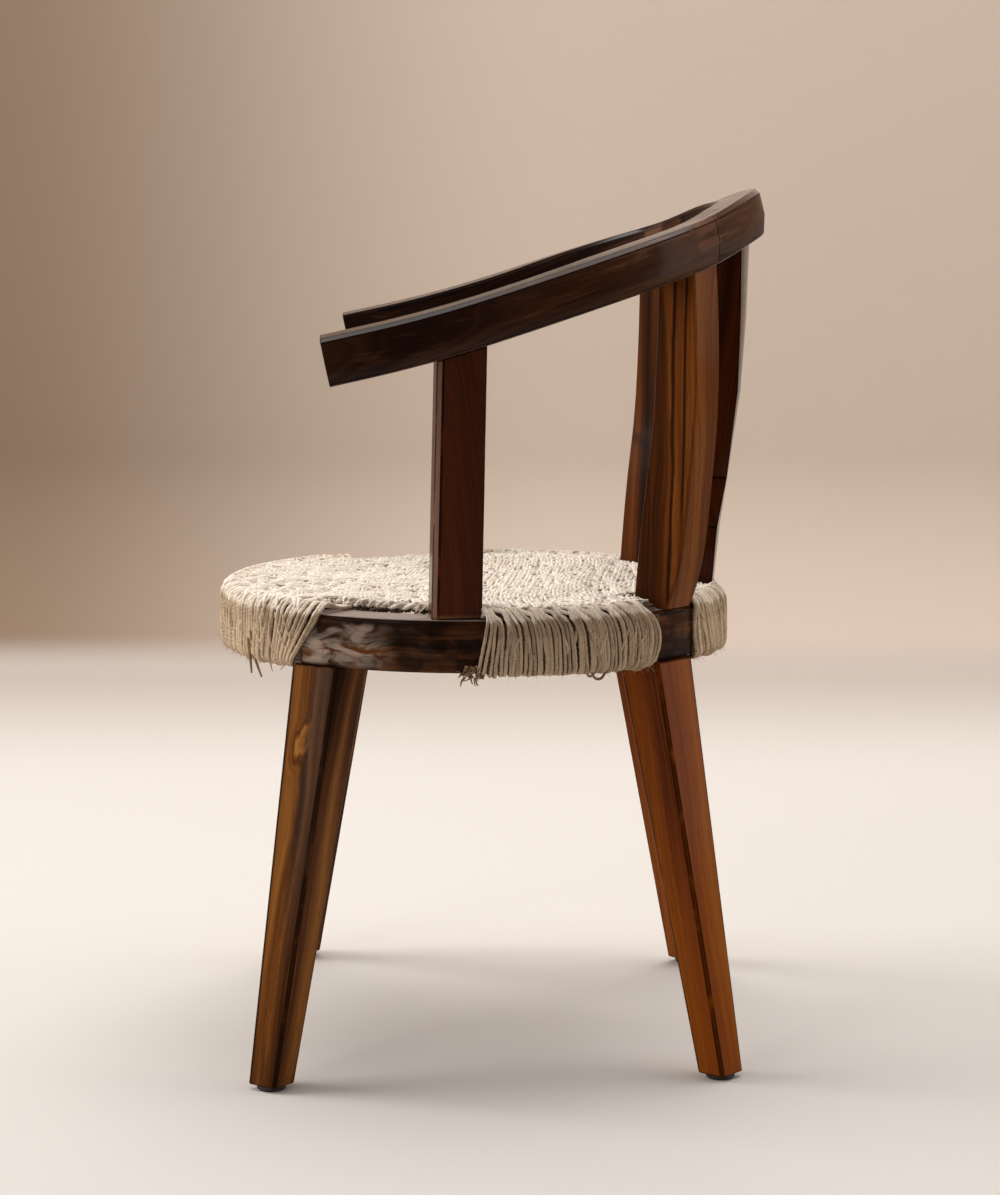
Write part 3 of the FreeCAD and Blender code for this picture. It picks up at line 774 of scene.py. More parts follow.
def strand_rings(points, ups, wide, high, sides, twist=0.0, lobe=0.0):
    """Cross-sections of a strand through points: wide across, high along ups, with a ply twist.

    Ups is one direction for all of the points, or one for each.
    """
    ahead = np.gradient(points, axis=0)
    ahead /= np.linalg.norm(ahead, axis=1, keepdims=True)
    across = np.cross(ahead, ups)
    across /= np.linalg.norm(across, axis=1, keepdims=True)
    lift = np.cross(across, ahead)
    around = np.arange(sides) * (2 * math.pi / sides)
    ply = 1 + lobe * np.cos(2 * around[None, :] - twist * np.arange(len(points))[:, None])
    flat = (np.cos(around)[None, :] * ply * np.reshape(wide, (-1, 1)))[:, :, None]
    tall = (np.sin(around)[None, :] * ply * np.reshape(high, (-1, 1)))[:, :, None]
    return points[:, None, :] + across[:, None, :] * flat + lift[:, None, :] * tall


def strands_object(name, strands, seed, turns=1):
    """One piece of many strands, each an array of cross-sections, closed at both ends.

    Every turn of a strand has its own tint and its own row of the bake map.
    """
    chance = np.random.default_rng(seed)
    places, quads, caps, lays, maps = [], [], [], [], []
    base = 0
    for row, rings in enumerate(strands):
        count, sides = rings.shape[:2]
        places.append(rings.reshape(-1, 3))
        step = np.linalg.norm(np.diff(rings[:, 0], axis=0), axis=1)
        along = np.concatenate([[0.0], np.cumsum(step)]) + chance.uniform(0, 50)
        tints = chance.uniform(0, 1, turns)
        lay = np.zeros((count, sides, 3))
        lay[:, :, 0] = along[:, None]
        lay[:, :, 1] = np.arange(sides)[None, :] / sides
        lay[:, :, 2] = tints[np.minimum(np.arange(count) * turns // count, turns - 1)][:, None]
        lays.append(lay.reshape(-1, 3))
        n, k = np.meshgrid(np.arange(count - 1), np.arange(sides), indexing="ij")
        k_next = (k + 1) % sides
        quad = [n * sides + k, n * sides + k_next, (n + 1) * sides + k_next, (n + 1) * sides + k]
        quads.append(np.stack(quad, -1).reshape(-1, 4) + base)
        caps.append([base + s for s in range(sides - 1, -1, -1)])
        caps.append([base + (count - 1) * sides + s for s in range(sides)])
        per_turn = (count - 1) / turns
        lane = np.minimum(n // per_turn, turns - 1)[..., None]
        u = np.stack([n, n, n + 1, n + 1], -1) / per_turn - lane
        v = np.stack([k, k + 1, k + 1, k], -1) / sides
        v = (row * turns + lane + row_margin + (1 - 2 * row_margin) * v) / (len(strands) * turns)
        maps.append(np.stack([u, v], -1).reshape(-1, 2))
        base += count * sides
    places = np.concatenate(places)
    quads = np.concatenate(quads)
    mesh = bpy.data.meshes.new(name)
    mesh.from_pydata(places.tolist(), [], quads.tolist() + caps)
    mesh.shade_smooth()
    lay_data = mesh.attributes.new("lay", "FLOAT_VECTOR", "POINT")
    lay_data.data.foreach_set("vector", np.concatenate(lays).astype(np.float32).ravel())
    bake_map = mesh.uv_layers.new(name="OFBake")
    spots = np.zeros((len(mesh.loops), 2), np.float32)
    spots[: len(quads) * 4] = np.concatenate(maps)
    bake_map.uv.foreach_set("vector", spots.ravel())
    made = bpy.data.objects.new(name, mesh)
    scene.collection.objects.link(made)
    return made


def cord_material(name, pale, brown, dirt, clean_and_lit=None, hollow_shade=0.0, level=0.66, speckle=1.0):
    """Matt twisted plant cord: pale fibres, brown flecks, plies, and painted shade in the grooves and
    hollows.

    With tones given for the top, the cord is stained and in painted shade below the seat's shoulder, and
    cleaner above it, paler as painted light.
    Hollow is how far the weave's low places are darkened, as painted shade.
    """
    paint = Paint(bpy.data.materials.new(name))
    along, around, chance = paint.axes(paint.stored_place("lay"))
    place = paint.object_place()
    ply = ((along * 260 + around * 2).worked("PINGPONG", 0.5) * 2).capped()
    fibre_place = paint.joined(along * 220, around * 16 + along * 900, chance * 90)
    fibres = paint.noise(fibre_place, detail=3.0, roughness=0.65)
    flecks = paint.noise(paint.joined(along * 75, around * 5, chance * 40), detail=3.0)
    blotch = paint.noise(place, scale=26.0, detail=3.0, roughness=0.6)
    mottle = (fibres - 0.5) * 0.9 + (flecks - 0.5) * 0.8 + (chance - 0.5) * 0.55 + (blotch - 0.5) * 0.55
    # The grooves between the plies are darkened: painted shade.
    groove_shade = 1 - ply.above(0.0, 0.35)
    tone = (level + (mottle - groove_shade * 0.22) * speckle).capped()

    def toned(light, dark):
        tan = [a * 0.55 + b * 0.45 for a, b in zip(light, dark)]
        bright = [part * 1.03 for part in light]
        shades = ((0.0, dark), (0.38, tan), (0.72, light), (1.0, bright))
        return paint.ramp(tone, [(stop, (*shade, 1)) for stop, shade in shades])

    colour = toned(pale, brown)
    x, y, height = paint.axes(place)
    y = y - seat_centre.y
    # Dirt in blotches; painted shade is added to it further down.
    grime_and_shade = (blotch + fibres * 0.5).above(0.72, 0.30) * dirt
    if clean_and_lit:
        # Above the shoulder the cord takes the cleaner tones, paler as painted light where it faces up.
        clean_and_lit_top = (height + (blotch - 0.5) * 0.012 + (chance - 0.5) * 0.005).above(0.4345, 0.4395)
        colour = paint.mix(clean_and_lit_top, colour, toned(*clean_and_lit))
        at_sides = x.absolute().above(0.150, 0.205) * (1 - clean_and_lit_top * 0.8)
        # Painted shade in a band under the shoulder.
        shade_under_shoulder = height.inside(0.4240, 0.4335, 0.0060) * fibres.above(0.25, 0.60)
        grime_and_shade = (grime_and_shade + at_sides * 0.25) * (1 - clean_and_lit_top * 0.85) + shade_under_shoulder * 0.22
    if hollow_shade:
        # Painted shade in the weave's low places.
        low = 1 - height.above(weave_level - 0.0036, weave_level - 0.0006)
        in_field = 1 - (x * x + y * y).root().above(0.186, 0.197)
        grime_and_shade = grime_and_shade + low * hollow_shade * in_field
    paint.link("Base Color", paint.mix(grime_and_shade.capped(), colour, (*[part * 0.55 for part in brown], 1)))
    paint.link("Roughness", 0.82 + (fibres - 0.5) * 0.25)
    paint.link("Normal", paint.bump(ply * 0.7 + fibres * 0.6, 0.75 * speckle, 0.0006))
    paint.fixed("Specular IOR Level", 0.25)
    return paint.owner


natural_cord = cord_material(
    "natural_cord", cord_pale, cord_brown, 0.12, hollow_shade=0.80, level=0.72, speckle=0.65,
)
worn_shaded_cord = cord_material("natural_cord_worn_shaded", worn_shaded_pale, worn_shaded_brown, 0.45, clean_and_lit=(clean_lit_pale, clean_lit_brown))
inner_dirty_shaded_cord = cord_material("natural_cord_inner_dirty_shaded", inner_dirty_shaded_pale, inner_dirty_shaded_brown, 0.5)
end_cord = cord_material("natural_cord_ends", end_pale, end_brown, 0.5)


def arc(radius, height, size, start, step, count):
    """Places on a round corner of the ring's section: radius and height, by steps in degrees."""
    turns = [math.radians(start + step * number) for number in range(count)]
    return [(radius + size * math.cos(turn), height + size * math.sin(turn)) for turn in turns]


def turn_path():
    """One turn round the ring's section: radius, height, and how far the pull over the top has gone."""
    up_outside = ((0.394, 0.0), (0.408, 0.0), (0.421, 0.02), (0.429, 0.08))
    spots = [(wind_outer, *spot) for spot in up_outside]
    shoulder = arc(wind_outer - wind_shoulder, wind_shoulder_low, wind_shoulder, 0, 15, 7)
    spots += [(*spot, 0.15 + 0.6 * step / 6) for step, spot in enumerate(shoulder)]
    spots += [(0.2325, 0.4450, 0.88), (0.2260, 0.4418, 1.0), (0.214, 0.4402, 1.0), (0.204, 0.4396, 0.8)]
    spots.append((0.2000, 0.4385, 0.6))
    spots += [(wind_inner, 0.4350, 0.5), (wind_inner, 0.413, 0.25), (wind_inner, 0.391, 0.0)]
    spots.append((0.2002, 0.3872, 0.0))
    spots += [(0.2035, wind_low, 0.0), (0.222, wind_low, 0.0), (0.2422, wind_low, 0.0)]
    lower = arc(wind_outer - wind_corner, wind_corner_top, wind_corner, -67.5, 22.5, 3)
    spots += [(*spot, 0.0) for spot in lower]
    spots = np.array(spots + [spots[0]])
    gone = np.concatenate([[0.0], np.cumsum(np.linalg.norm(np.diff(spots[:, :2], axis=0), axis=1))])
    even = np.linspace(0, gone[-1], wind_steps + 1)[:-1]
    path = np.stack([np.interp(even, gone, spots[:, axis]) for axis in range(3)], 1)
    hidden = np.argmin(np.abs(path[:, 0] - wind_inner) + np.abs(path[:, 1] - 0.413))
    return np.roll(path, -hidden, axis=0)


def slip_at(rise, foot, middle, shoulder):
    """A slip that is given at three heights of the ring, smooth between them."""
    low = (rise - 0.5) * (rise - 1.0) / 0.5
    mid = rise * (rise - 1.0) / -0.25
    high = rise * (rise - 0.5) / 0.5
    return foot * low + middle * mid + shoulder * high


def wound_strand(name, wrap, seed):
    """A whole stretch as one strand, from its first turn to its last.

    Lean is how far a turn goes round the seat over the shoulder, and slant how far on the ring's side.
    The slips turn the first and the last turns at foot, middle and shoulder, and at the openings,
    angles of the ring, the turns part on the shoulder.
    """
    start, end = wrap["span"]
    chance = np.random.default_rng(seed)
    turns = round(math.radians(end - start) * wind_outer / wind_turn_pitch)
    path = np.tile(turn_path(), (turns, 1))
    path = np.vstack([path, path[:1]])
    steps = np.arange(len(path))
    share = steps / steps[-1]
    centres = (np.arange(turns) + 0.5) * wind_steps

    def each_turn(values):
        return np.interp(steps, centres, values)

    radius, height, pull = path[:, 0], path[:, 1], path[:, 2]
    settle = min(6.0, (end - start) / 5)
    near_first = np.exp(-share * (end - start) / settle)
    near_last = np.exp(-(1 - share) * (end - start) / settle)
    rise = np.clip((height - wind_low) / (wind_shoulder_low + 0.008 - wind_low), 0, 1.0)
    groups = np.cumsum(chance.uniform(size=turns) < 0.38)
    tug = each_turn(chance.normal(0, stray_together * wind_shag, groups.max() + 1)[groups])
    own = each_turn(chance.normal(0, stray_alone * wind_shag, turns))
    knots = np.arange(0, len(path) + 12, 12)
    waver = np.interp(steps, knots, chance.normal(0, stray_along * wind_shag, len(knots)))
    shoulder_tug = each_turn(chance.normal(0, stray_on_shoulder, turns))
    shoulder_tug = shoulder_tug * np.clip((height - 0.430) / 0.012, 0, 1)
    angle = start + (end - start) * share + wrap["lean"] * pull * (1 - near_first * 0.5 - near_last * 0.5)
    angle = angle + wrap["slant"] * (rise - 0.5) * (1 - near_first) * (1 - near_last)
    angle = angle + slip_at(rise, *wrap["first_slips"]) * near_first
    angle = angle + slip_at(rise, *wrap["last_slips"]) * near_last
    angle = angle + np.degrees((tug + own + waver + shoulder_tug) / wind_outer)
    on_shoulder = np.clip((height - 0.4375) / 0.004, 0, 1) * np.clip((radius - 0.233) / 0.004, 0, 1)
    for opening in wrap["openings"]:
        off = angle - opening
        parted = np.exp(-((np.abs(off) - opening_edge) / opening_fade) ** 2)
        angle = angle + opening_push * np.sign(off) * parted * on_shoulder
    stagger = each_turn(np.arange(turns) % 2 * 1.0)
    outside = np.clip((radius - 0.226) / 0.02, 0, 1)
    own_radius = each_turn(chance.normal(0, stray_outward, turns))
    radius = radius + (own_radius + stagger * stagger_outside) * outside
    radius = radius - stagger * stagger_inside * (1 - outside) * (height < 0.436)
    below = np.abs(chance.normal(0, stray_below * wind_shag, turns))
    height = height - each_turn(below) * (height < wind_under)
    turn = np.radians(angle)
    points = round_seat(turn, radius, height)
    heart = round_seat(turn, wind_heart, np.clip(height, wind_heart_low, wind_heart_high))
    thick = cord_radius * (1 + each_turn(chance.normal(0, stray_thickness, turns)))
    rings = strand_rings(points, points - heart, thick, thick, cord_sides, twist=1.9, lobe=0.07)
    return strands_object(name, [rings], seed, turns=turns)


def packing_cords(name, wrap, seed):
    """Cords laid along the ring under a winding: on its top, to round it, and flat on its side."""
    start, end = wrap["span"]
    chance = np.random.default_rng(seed)
    on_top = [
        (0.2440, 0.4394), (0.2415, 0.4424), (0.2382, 0.4392), (0.2362, 0.4428),
        (0.2330, 0.4392), (0.2318, 0.4428), (0.2280, 0.4392), (0.2268, 0.4424),
        (0.2230, 0.4390), (0.2185, 0.4388), (0.2140, 0.4386),
    ]
    # The flat cords on the side show dark in the gaps between the turns: painted shade.
    on_side = [(0.2486, height) for height in np.arange(0.3905, 0.4350, 0.0035)]
    strands = []
    for radius, height in on_top + on_side:
        ends = start + chance.uniform(-0.2, 0.5), end - chance.uniform(-0.2, 0.5)
        turn = np.radians(np.linspace(*ends, max(8, int(abs(end - start) * 1.2))))
        flat = (radius, height) in on_side
        ups, tall = (outward(turn), 0.0007) if flat else (upward, cord_radius * 0.85)
        points = round_seat(turn, radius, height)
        strands.append(strand_rings(points, ups, cord_radius * 0.95, tall, thin_cord_sides))
    return strands_object(name, strands, seed)


def crossing_cords(name, wrap, seed):
    """Short lengths that were pulled across the turns and tucked in again."""
    start, end = wrap["span"]
    count, tilt = wrap["crossings"]
    chance = np.random.default_rng(seed)
    strands = []
    for at in np.linspace(start + 2.0, end - 2.0, count):
        share = np.linspace(0, 1, 14)
        fall = chance.uniform(0.014, 0.036)
        high = chance.uniform(0.396 + fall, 0.437)
        sweep_angle = chance.normal(tilt, 2.2) * fall / 0.03
        bend = chance.normal(0, 0.25, 2)
        at = at + chance.normal(0, 1.0)
        at = np.clip(at, start + 1.6 - min(sweep_angle, 0), end - 1.6 - max(sweep_angle, 0))
        wavy = bend[0] * np.sin(4 * share) + bend[1] * np.sin(7 * share) * 0.5
        turn = np.radians(at + sweep_angle * share + wavy)
        radius = wind_outer - 0.0008 + 0.0026 * np.sqrt(np.sin(np.clip(share, 0.02, 0.98) * math.pi))
        points = round_seat(turn, radius, high - fall * share)
        thick = chance.uniform(0.0010, 0.0016)
        strands.append(strand_rings(points, outward(turn), thick, thick, cord_sides, twist=1.9, lobe=0.07))
    return strands_object(name, strands, seed)


def finish_cord(piece, material, *replaced):
    """Dress a piece of cord and tie it to the seat."""
    piece.data.materials.append(material)
    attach(piece, "root")
    if replaced:
        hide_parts(*replaced)


windings = {
    "cord_wrap_front": {
        "span": (-139.0, -41.0), "lean": 0.0, "slant": 0.0, "crossings": (48, 0.0),
        "first_slips": (3.3, -2.0, -7.5), "last_slips": (-3.3, 2.0, 7.5), "openings": (),
    },
    "cord_wrap_side_left": {
        "span": (1.9, 43.5), "lean": -5.5, "slant": -1.2, "crossings": (16, -1.0),
        "first_slips": (-2.2, -1.0, 0.6), "last_slips": (-2.4, 0.6, -3.0),
        "openings": (4.8, 10.9, 15.8, 19.4, 24.2, 28.9, 36.5),
    },
    "cord_wrap_side_right": {
        "span": (136.5, 178.1), "lean": 5.5, "slant": 1.2, "crossings": (16, 1.0),
        "first_slips": (2.4, -0.6, 3.0), "last_slips": (2.2, 1.0, -0.6),
        "openings": (146.0, 153.0, 160.0, 168.0, 174.0),
    },
    "cord_wrap_rear_left": {
        "span": (56.0, 77.5), "lean": -2.0, "slant": -6.0, "crossings": (9, 3.0),
        "first_slips": (1.5, -0.4, 1.8), "last_slips": (-1.0, 0.4, -1.0), "openings": (),
    },
    "cord_wrap_rear_right": {
        "span": (102.5, 124.0), "lean": 2.0, "slant": 6.0, "crossings": (9, -3.0),
        "first_slips": (1.0, -0.4, 1.0), "last_slips": (-1.5, 0.4, -1.8), "openings": (),
    },
}
for wrap_row, (wrap_name, wrap_shape) in enumerate(windings.items()):
    finish_cord(wound_strand(wrap_name + "_winding", wrap_shape, 100 + wrap_row), worn_shaded_cord, wrap_name)
    finish_cord(packing_cords(wrap_name + "_packing", wrap_shape, 120 + wrap_row), inner_dirty_shaded_cord, wrap_name)
    finish_cord(crossing_cords(wrap_name + "_crossed", wrap_shape, 140 + wrap_row), worn_shaded_cord, wrap_name)


# Woven seat: cords from front to back over and under cords from side to side, by hand.
# They reach the windings' shoulder, and a second layer lies below and holds them.
weave_pitch = 0.0041
weave_reach = 0.2365
weave_inner_reach = 0.1985
weave_lift = 0.00150
weave_half_lines = 57
under_level = 0.4394
under_lift = 0.00142
strand_half_width = 0.00188
strand_half_height = 0.00142

# Small holes that sitters and hands have opened: their number, how far they reach and how deep cords sag
hole_count = 520
hole_reach = 0.026
hole_push_across = 0.0036
hole_push_along = 0.0023
hole_sag = 0.0016
deepest_sag = 0.0028

# How far out the ends of the weave's cords stop: in front, and at the sides and the back
front_stops = (0.2440, 0.2512)
other_stops = (0.2375, 0.2415)

# From its last crossing an end goes on by steps over the shoulder, then dives inward and down
end_steps = 26
end_step = 0.0013
end_lift = 0.0016
end_ahead = 0.0006
end_dive = ((0.0010, 0.0020), (0.0026, 0.0040))

weave_lines = [number * weave_pitch for number in range(-weave_half_lines, weave_half_lines + 1)]
weave_dice = np.random.default_rng(7)
holes = weave_dice.uniform(-0.235, 0.235, (hole_count, 2))
hole_sizes = weave_dice.uniform(0.35, 1.15, hole_count) ** 1.5
rim_holes = np.concatenate([np.linspace(3, 42, 9), np.linspace(138, 177, 9), np.linspace(-135, -45, 16)])
rim_holes = np.radians(rim_holes) + weave_dice.normal(0, 0.02, len(rim_holes))
holes = np.vstack([holes, 0.2335 * np.stack([np.cos(rim_holes), np.sin(rim_holes)], 1)])
hole_sizes = np.concatenate([hole_sizes, weave_dice.uniform(0.9, 1.5, len(rim_holes))])


def wrapped(x, y):
    """True where the ring is wound in this direction from the middle."""
    angle = math.degrees(math.atan2(y, x))
    return any(wrap["span"][0] <= angle <= wrap["span"][1] for wrap in windings.values())


def pulled(flat):
    """Hand-woven lines wander, lean to one side, and part and sag round small long holes."""
    x, y = flat[:, 0], flat[:, 1]
    calm = np.clip(1 - (np.hypot(x, y) / 0.232) ** 4, 0, 1)
    drift_x = 0.0030 * np.sin(21 * x + 33 * y + 1.3) + 0.0022 * np.sin(49 * x - 37 * y + 0.4)
    drift_y = 0.0022 * np.sin(13 * x - 31 * y + 2.1) + 0.0014 * np.sin(17 * x + 58 * y + 4.0) - 0.12 * x
    moved = flat + np.stack([drift_x * calm, drift_y * calm], 1)
    sag = np.zeros(len(flat))
    for hole, size in zip(holes, hole_sizes):
        gap = moved - hole
        near = np.abs(gap).max(axis=1) < hole_reach
        if not near.any():
            continue
        gap = gap[near]
        side_x, side_y = np.sign(gap[:, 0]), np.sign(gap[:, 1])
        far_x, far_y = np.abs(gap[:, 0]), np.abs(gap[:, 1])
        push_x = hole_push_across * np.exp(-(far_x / 0.0085) ** 2 - (far_y / 0.0060) ** 2)
        push_y = hole_push_along * np.exp(-(far_x / 0.0095) ** 2 - (far_y / 0.0050) ** 2)
        push_x = push_x * np.minimum(far_x / 0.0015, 1)
        push_y = push_y * np.minimum(far_y / 0.0008, 1)
        moved[near] += np.stack([side_x * push_x, side_y * push_y], 1) * size
        sag[near] += hole_sag * size * np.exp(-(far_x / 0.0130) ** 2 - (far_y / 0.0050) ** 2)
    return moved, np.minimum(sag, deepest_sag)


def over_under():
    """True where the front-to-back cord is on top, for each pair of lines."""
    count = len(weave_lines)
    top = np.zeros((count, count), bool)
    for i in range(count):
        for j, y in enumerate(weave_lines):
            if weave_dice.uniform() < min(max((0.015 - y) / 0.13, 0.0), 0.93):
                top[i, j] = (i + 2 * j) % 5 != 0
            else:
                top[i, j] = (j + 3 * i) % 7 < 2
            if weave_dice.uniform() < 0.07:
                top[i, j] = not top[i, j]
    return top


def crossings(index, lengthwise, tops):
    """Where one cord meets the others inside the rim, and if it is over (1) or under (-1), in runs."""
    fixed = weave_lines[index]
    runs, run = [], []
    for other, at in enumerate(weave_lines):
        x, y = (fixed, at) if lengthwise else (at, fixed)
        if math.hypot(x, y) < (weave_reach if wrapped(x, y) else weave_inner_reach):
            above = tops[index, other] if lengthwise else not tops[other, index]
            run.append((at, 1.0 if above else -1.0))
        elif run:
            runs.append(run)
            run = []
    return [np.array(r) for r in runs + [run] if len(r) > 2]


def with_ends(points, chance):
    """Each end goes over the shoulder or in between the turns, or dives at the bare ring."""
    for end in (0, -1):
        tip, inner = points[end], points[1 if end == 0 else -2]
        ahead = (tip[:2] - inner[:2]) / np.linalg.norm(tip[:2] - inner[:2])
        out = tip[:2] / np.linalg.norm(tip[:2])
        extra = []
        at = tip[:2].copy()
        if wrapped(*tip[:2]) and float(ahead @ out) > 0.45:
            stop = chance.uniform(*(front_stops if tip[1] < -0.10 else other_stops))
            for _ in range(end_steps):
                at = at + ahead * end_step
                radius = float(np.linalg.norm(at))
                if radius > stop or not wrapped(*at):
                    break
                swell = wind_shoulder + end_lift
                over = min(max(radius - (wind_outer - wind_shoulder), 0.0), swell)
                height = wind_shoulder_low + math.sqrt(max(swell ** 2 - over ** 2, 0.0))
                share = min(1.0, max(0.0, (radius - weave_reach + 0.004) / 0.006))
                extra.append((*at, tip[2] * (1 - share) + height * share))
        last = np.array(extra[-1]) if extra else tip
        for inward, down in end_dive:
            extra.append((*(last[:2] - out * inward + ahead * end_ahead), last[2] - down))
        extra = np.array(extra)
        points = np.vstack([extra[::-1], points]) if end == 0 else np.vstack([points, extra])
    return points


def woven_layer(lengthwise, level, lift, tops, seed, to_rim, step):
    """All cords of one direction in one layer, as arrays of cross-sections."""
    chance = np.random.default_rng(seed)
    wander = 0.0006 if lengthwise else 0.0003
    strands = []
    for index, line in enumerate(weave_lines):
        for run in crossings(index, lengthwise, tops):
            low, high = run[0, 0], run[-1, 0]
            fine = np.linspace(low, high, max(4, round((high - low) / step) + 1))
            knots = np.linspace(low, high, max(3, round((high - low) / 0.014)))
            side = line + chance.normal(0, 0.0004)
            side = side + np.interp(fine, knots, chance.normal(0, wander, len(knots)))
            flat, sag = pulled(np.stack([side, fine] if lengthwise else [fine, side], 1))
            rise = lift * np.interp(flat[:, 1], (-0.05, 0.08), (1.0, 0.75))
            height = level + rise * np.interp(fine, run[:, 0], run[:, 1]) - sag
            height = height + np.interp(fine, knots, chance.normal(0, 0.00022, len(knots)))
            points = np.column_stack([flat, height])
            if to_rim:
                points = with_ends(points, chance)
            far = np.linalg.norm(points[:, :2], axis=1, keepdims=True)
            beyond = np.clip((far - 0.2377) / wind_shoulder, 0, 1)
            ups = np.hstack([points[:, :2] / far * beyond, 1 - beyond * 0.85])
            wide = np.full(len(points), strand_half_width * (1 + chance.normal(0, 0.08)))
            tall = np.full(len(points), strand_half_height * (1 + chance.normal(0, 0.06)))
            points = points + seat_origin
            strands.append(strand_rings(points, ups, wide, tall, thin_cord_sides, twist=1.7, lobe=0.06))
    return strands


warp_on_top = over_under()
for weave_way, weave_seed in (("lengthwise", 201), ("crosswise", 202)):
    lengthwise = weave_way == "lengthwise"
    layer = woven_layer(
        lengthwise, weave_level, weave_lift, warp_on_top, weave_seed, to_rim=True, step=weave_pitch / 2,
    )
    half = len(layer) // 2
    for half_name, half_layer in (("first", layer[:half]), ("second", layer[half:])):
        woven = strands_object("weave_" + weave_way + "_" + half_name, half_layer, weave_seed)
        finish_cord(woven, natural_cord, "woven_seat")

# The second layer takes the inner tones, which paint the shade seen through the weave's holes.
line_numbers = np.arange(len(weave_lines))
under_on_top = (line_numbers[:, None] // 4 + line_numbers[None, :] // 4) % 2 == 0
for weave_way, weave_seed in (("lengthwise", 211), ("crosswise", 212)):
    lengthwise = weave_way == "lengthwise"
    layer = woven_layer(
        lengthwise, under_level, under_lift, under_on_top, weave_seed, to_rim=False, step=weave_pitch * 2,
    )
    finish_cord(strands_object("underside_" + weave_way, layer, weave_seed), inner_dirty_shaded_cord, "woven_seat")


# Selvages: where the ring is bare, two cords twisted together bind the weave's edge.
# They run from winding to winding just inside the ring.
selvage_spans = ((-44.0, 4.0), (41.0, 58.0), (75.5, 104.5), (122.0, 139.0), (176.0, 224.0))
selvage_radius = 0.1998
selvage_height = 0.4432
selvage_turn = 0.026
selvage_cord = 0.0021
selvage_step = 0.0016
selvages = []
for bare_start, bare_end in selvage_spans:
    bare_length = math.radians(bare_end - bare_start) * selvage_radius
    bare_along = np.arange(0, bare_length, selvage_step)
    bare_turn = np.radians(bare_start) + bare_along / selvage_radius
    for phase in (0.0, math.pi):
        twine = bare_along / selvage_turn * 2 * math.pi + phase
        bare_radius = selvage_radius + selvage_cord * np.cos(twine)
        bare_height = selvage_height + selvage_cord * np.sin(twine)
        bare_points = round_seat(bare_turn, bare_radius, bare_height)
        thick = selvage_cord
        selvages.append(strand_rings(bare_points, upward, thick, thick, cord_sides, twist=1.5, lobe=0.06))
finish_cord(strands_object("seat_selvages", selvages, 230), natural_cord)


# Loose ends: fibres that stand off the cords, cut ends at the rim and beside the left arm post,
# and thick ends and loops that hang down. None of them is fixed; they are what the maker didn't trim.
# A bunch of them lies at the foot of the ring beside each arm post, where a winding begins.
fray_dice = np.random.default_rng(77)
fibres_per_degree = 2.6
fibre_radius = 0.00022
fibre_heights = (0.3855, 0.3900, 0.4050, 0.4200)
fibre_shares = (0.42, 0.22, 0.2, 0.16)
edge_ends = 14
hanging_ends = (
    (-51.5, 0.015), (-56.0, 0.007), (-46.5, 0.009), (-62.0, 0.006), (-128.0, 0.012), (-119.0, 0.008),
)
hung_ends = ((-58.0, 0.4120, 0.046), (-59.2, 0.4050, 0.034), (-124.0, 0.4120, 0.036))
bunch_ends = 34
loops = ((27.6, 0.0068), (25.6, 0.0040), (152.0, 0.0045))
loop_radius = 0.0013
end_side = np.array([0.31, 0.53, 0.79])


def loose_end(start, ahead, length, thick, curl, sides=5, steps=9):
    """A thin tapering end that sets off ahead, bends at random and droops."""
    at, ahead = np.array(start, float), np.array(ahead, float)
    ahead = ahead / np.linalg.norm(ahead)
    turn = fray_dice.normal(0, curl, 3)
    points = [at]
    for _ in range(steps):
        turn = turn * 0.8 + fray_dice.normal(0, curl * 0.5, 3)
        ahead = ahead + turn + np.array([0.0, 0.0, -0.05])
        ahead = ahead / np.linalg.norm(ahead)
        at = at + ahead * length / steps
        points.append(at)
    taper = thick * np.linspace(1.0, 0.35, len(points))
    return strand_rings(np.array(points), end_side, taper, taper, sides)


fibres = []
for wrap_shape in windings.values():
    wrap_start, wrap_end = wrap_shape["span"]
    for _ in range(int((wrap_end - wrap_start) * fibres_per_degree)):
        fibre_angle = fray_dice.uniform(wrap_start + 1, wrap_end - 1)
        fibre_height = fray_dice.choice(fibre_heights, p=fibre_shares)
        fibre_out = np.array(heading(fibre_angle)) * fray_dice.uniform(0.2, 1.0)
        fibre_along = np.array(heading(fibre_angle + 90)) * fray_dice.normal(0, 0.7)
        fibre_down = np.array([0.0, 0.0, fray_dice.uniform(-1.2, 0.3)])
        fibre_radius_at = wind_outer - (0.004 if fibre_height < 0.387 else 0.0)
        fibre_start = polar(fibre_radius_at, fibre_angle, fibre_height)
        fibre_length = fray_dice.uniform(0.003, 0.009)
        fibre_ahead = fibre_out + fibre_along + fibre_down
        fibres.append(loose_end(fibre_start, fibre_ahead, fibre_length, fibre_radius, 0.16, 4, 6))
for edge_angle in fray_dice.uniform(-14.5, -7.0, edge_ends):
    edge_ahead = (0.8, fray_dice.normal(-0.7, 0.25), -0.10)
    edge_length = fray_dice.uniform(0.010, 0.019)
    fibres.append(loose_end(polar(0.1985, edge_angle, 0.4468), edge_ahead, edge_length, 0.0012, 0.07))
for end_angle, end_length in hanging_ends:
    fibres.append(loose_end(polar(0.2475, end_angle, 0.3875), (0.15, -0.1, -1.0), end_length, 0.0009, 0.08))
finish_cord(strands_object("cord_fibres", fibres, 240), worn_shaded_cord)

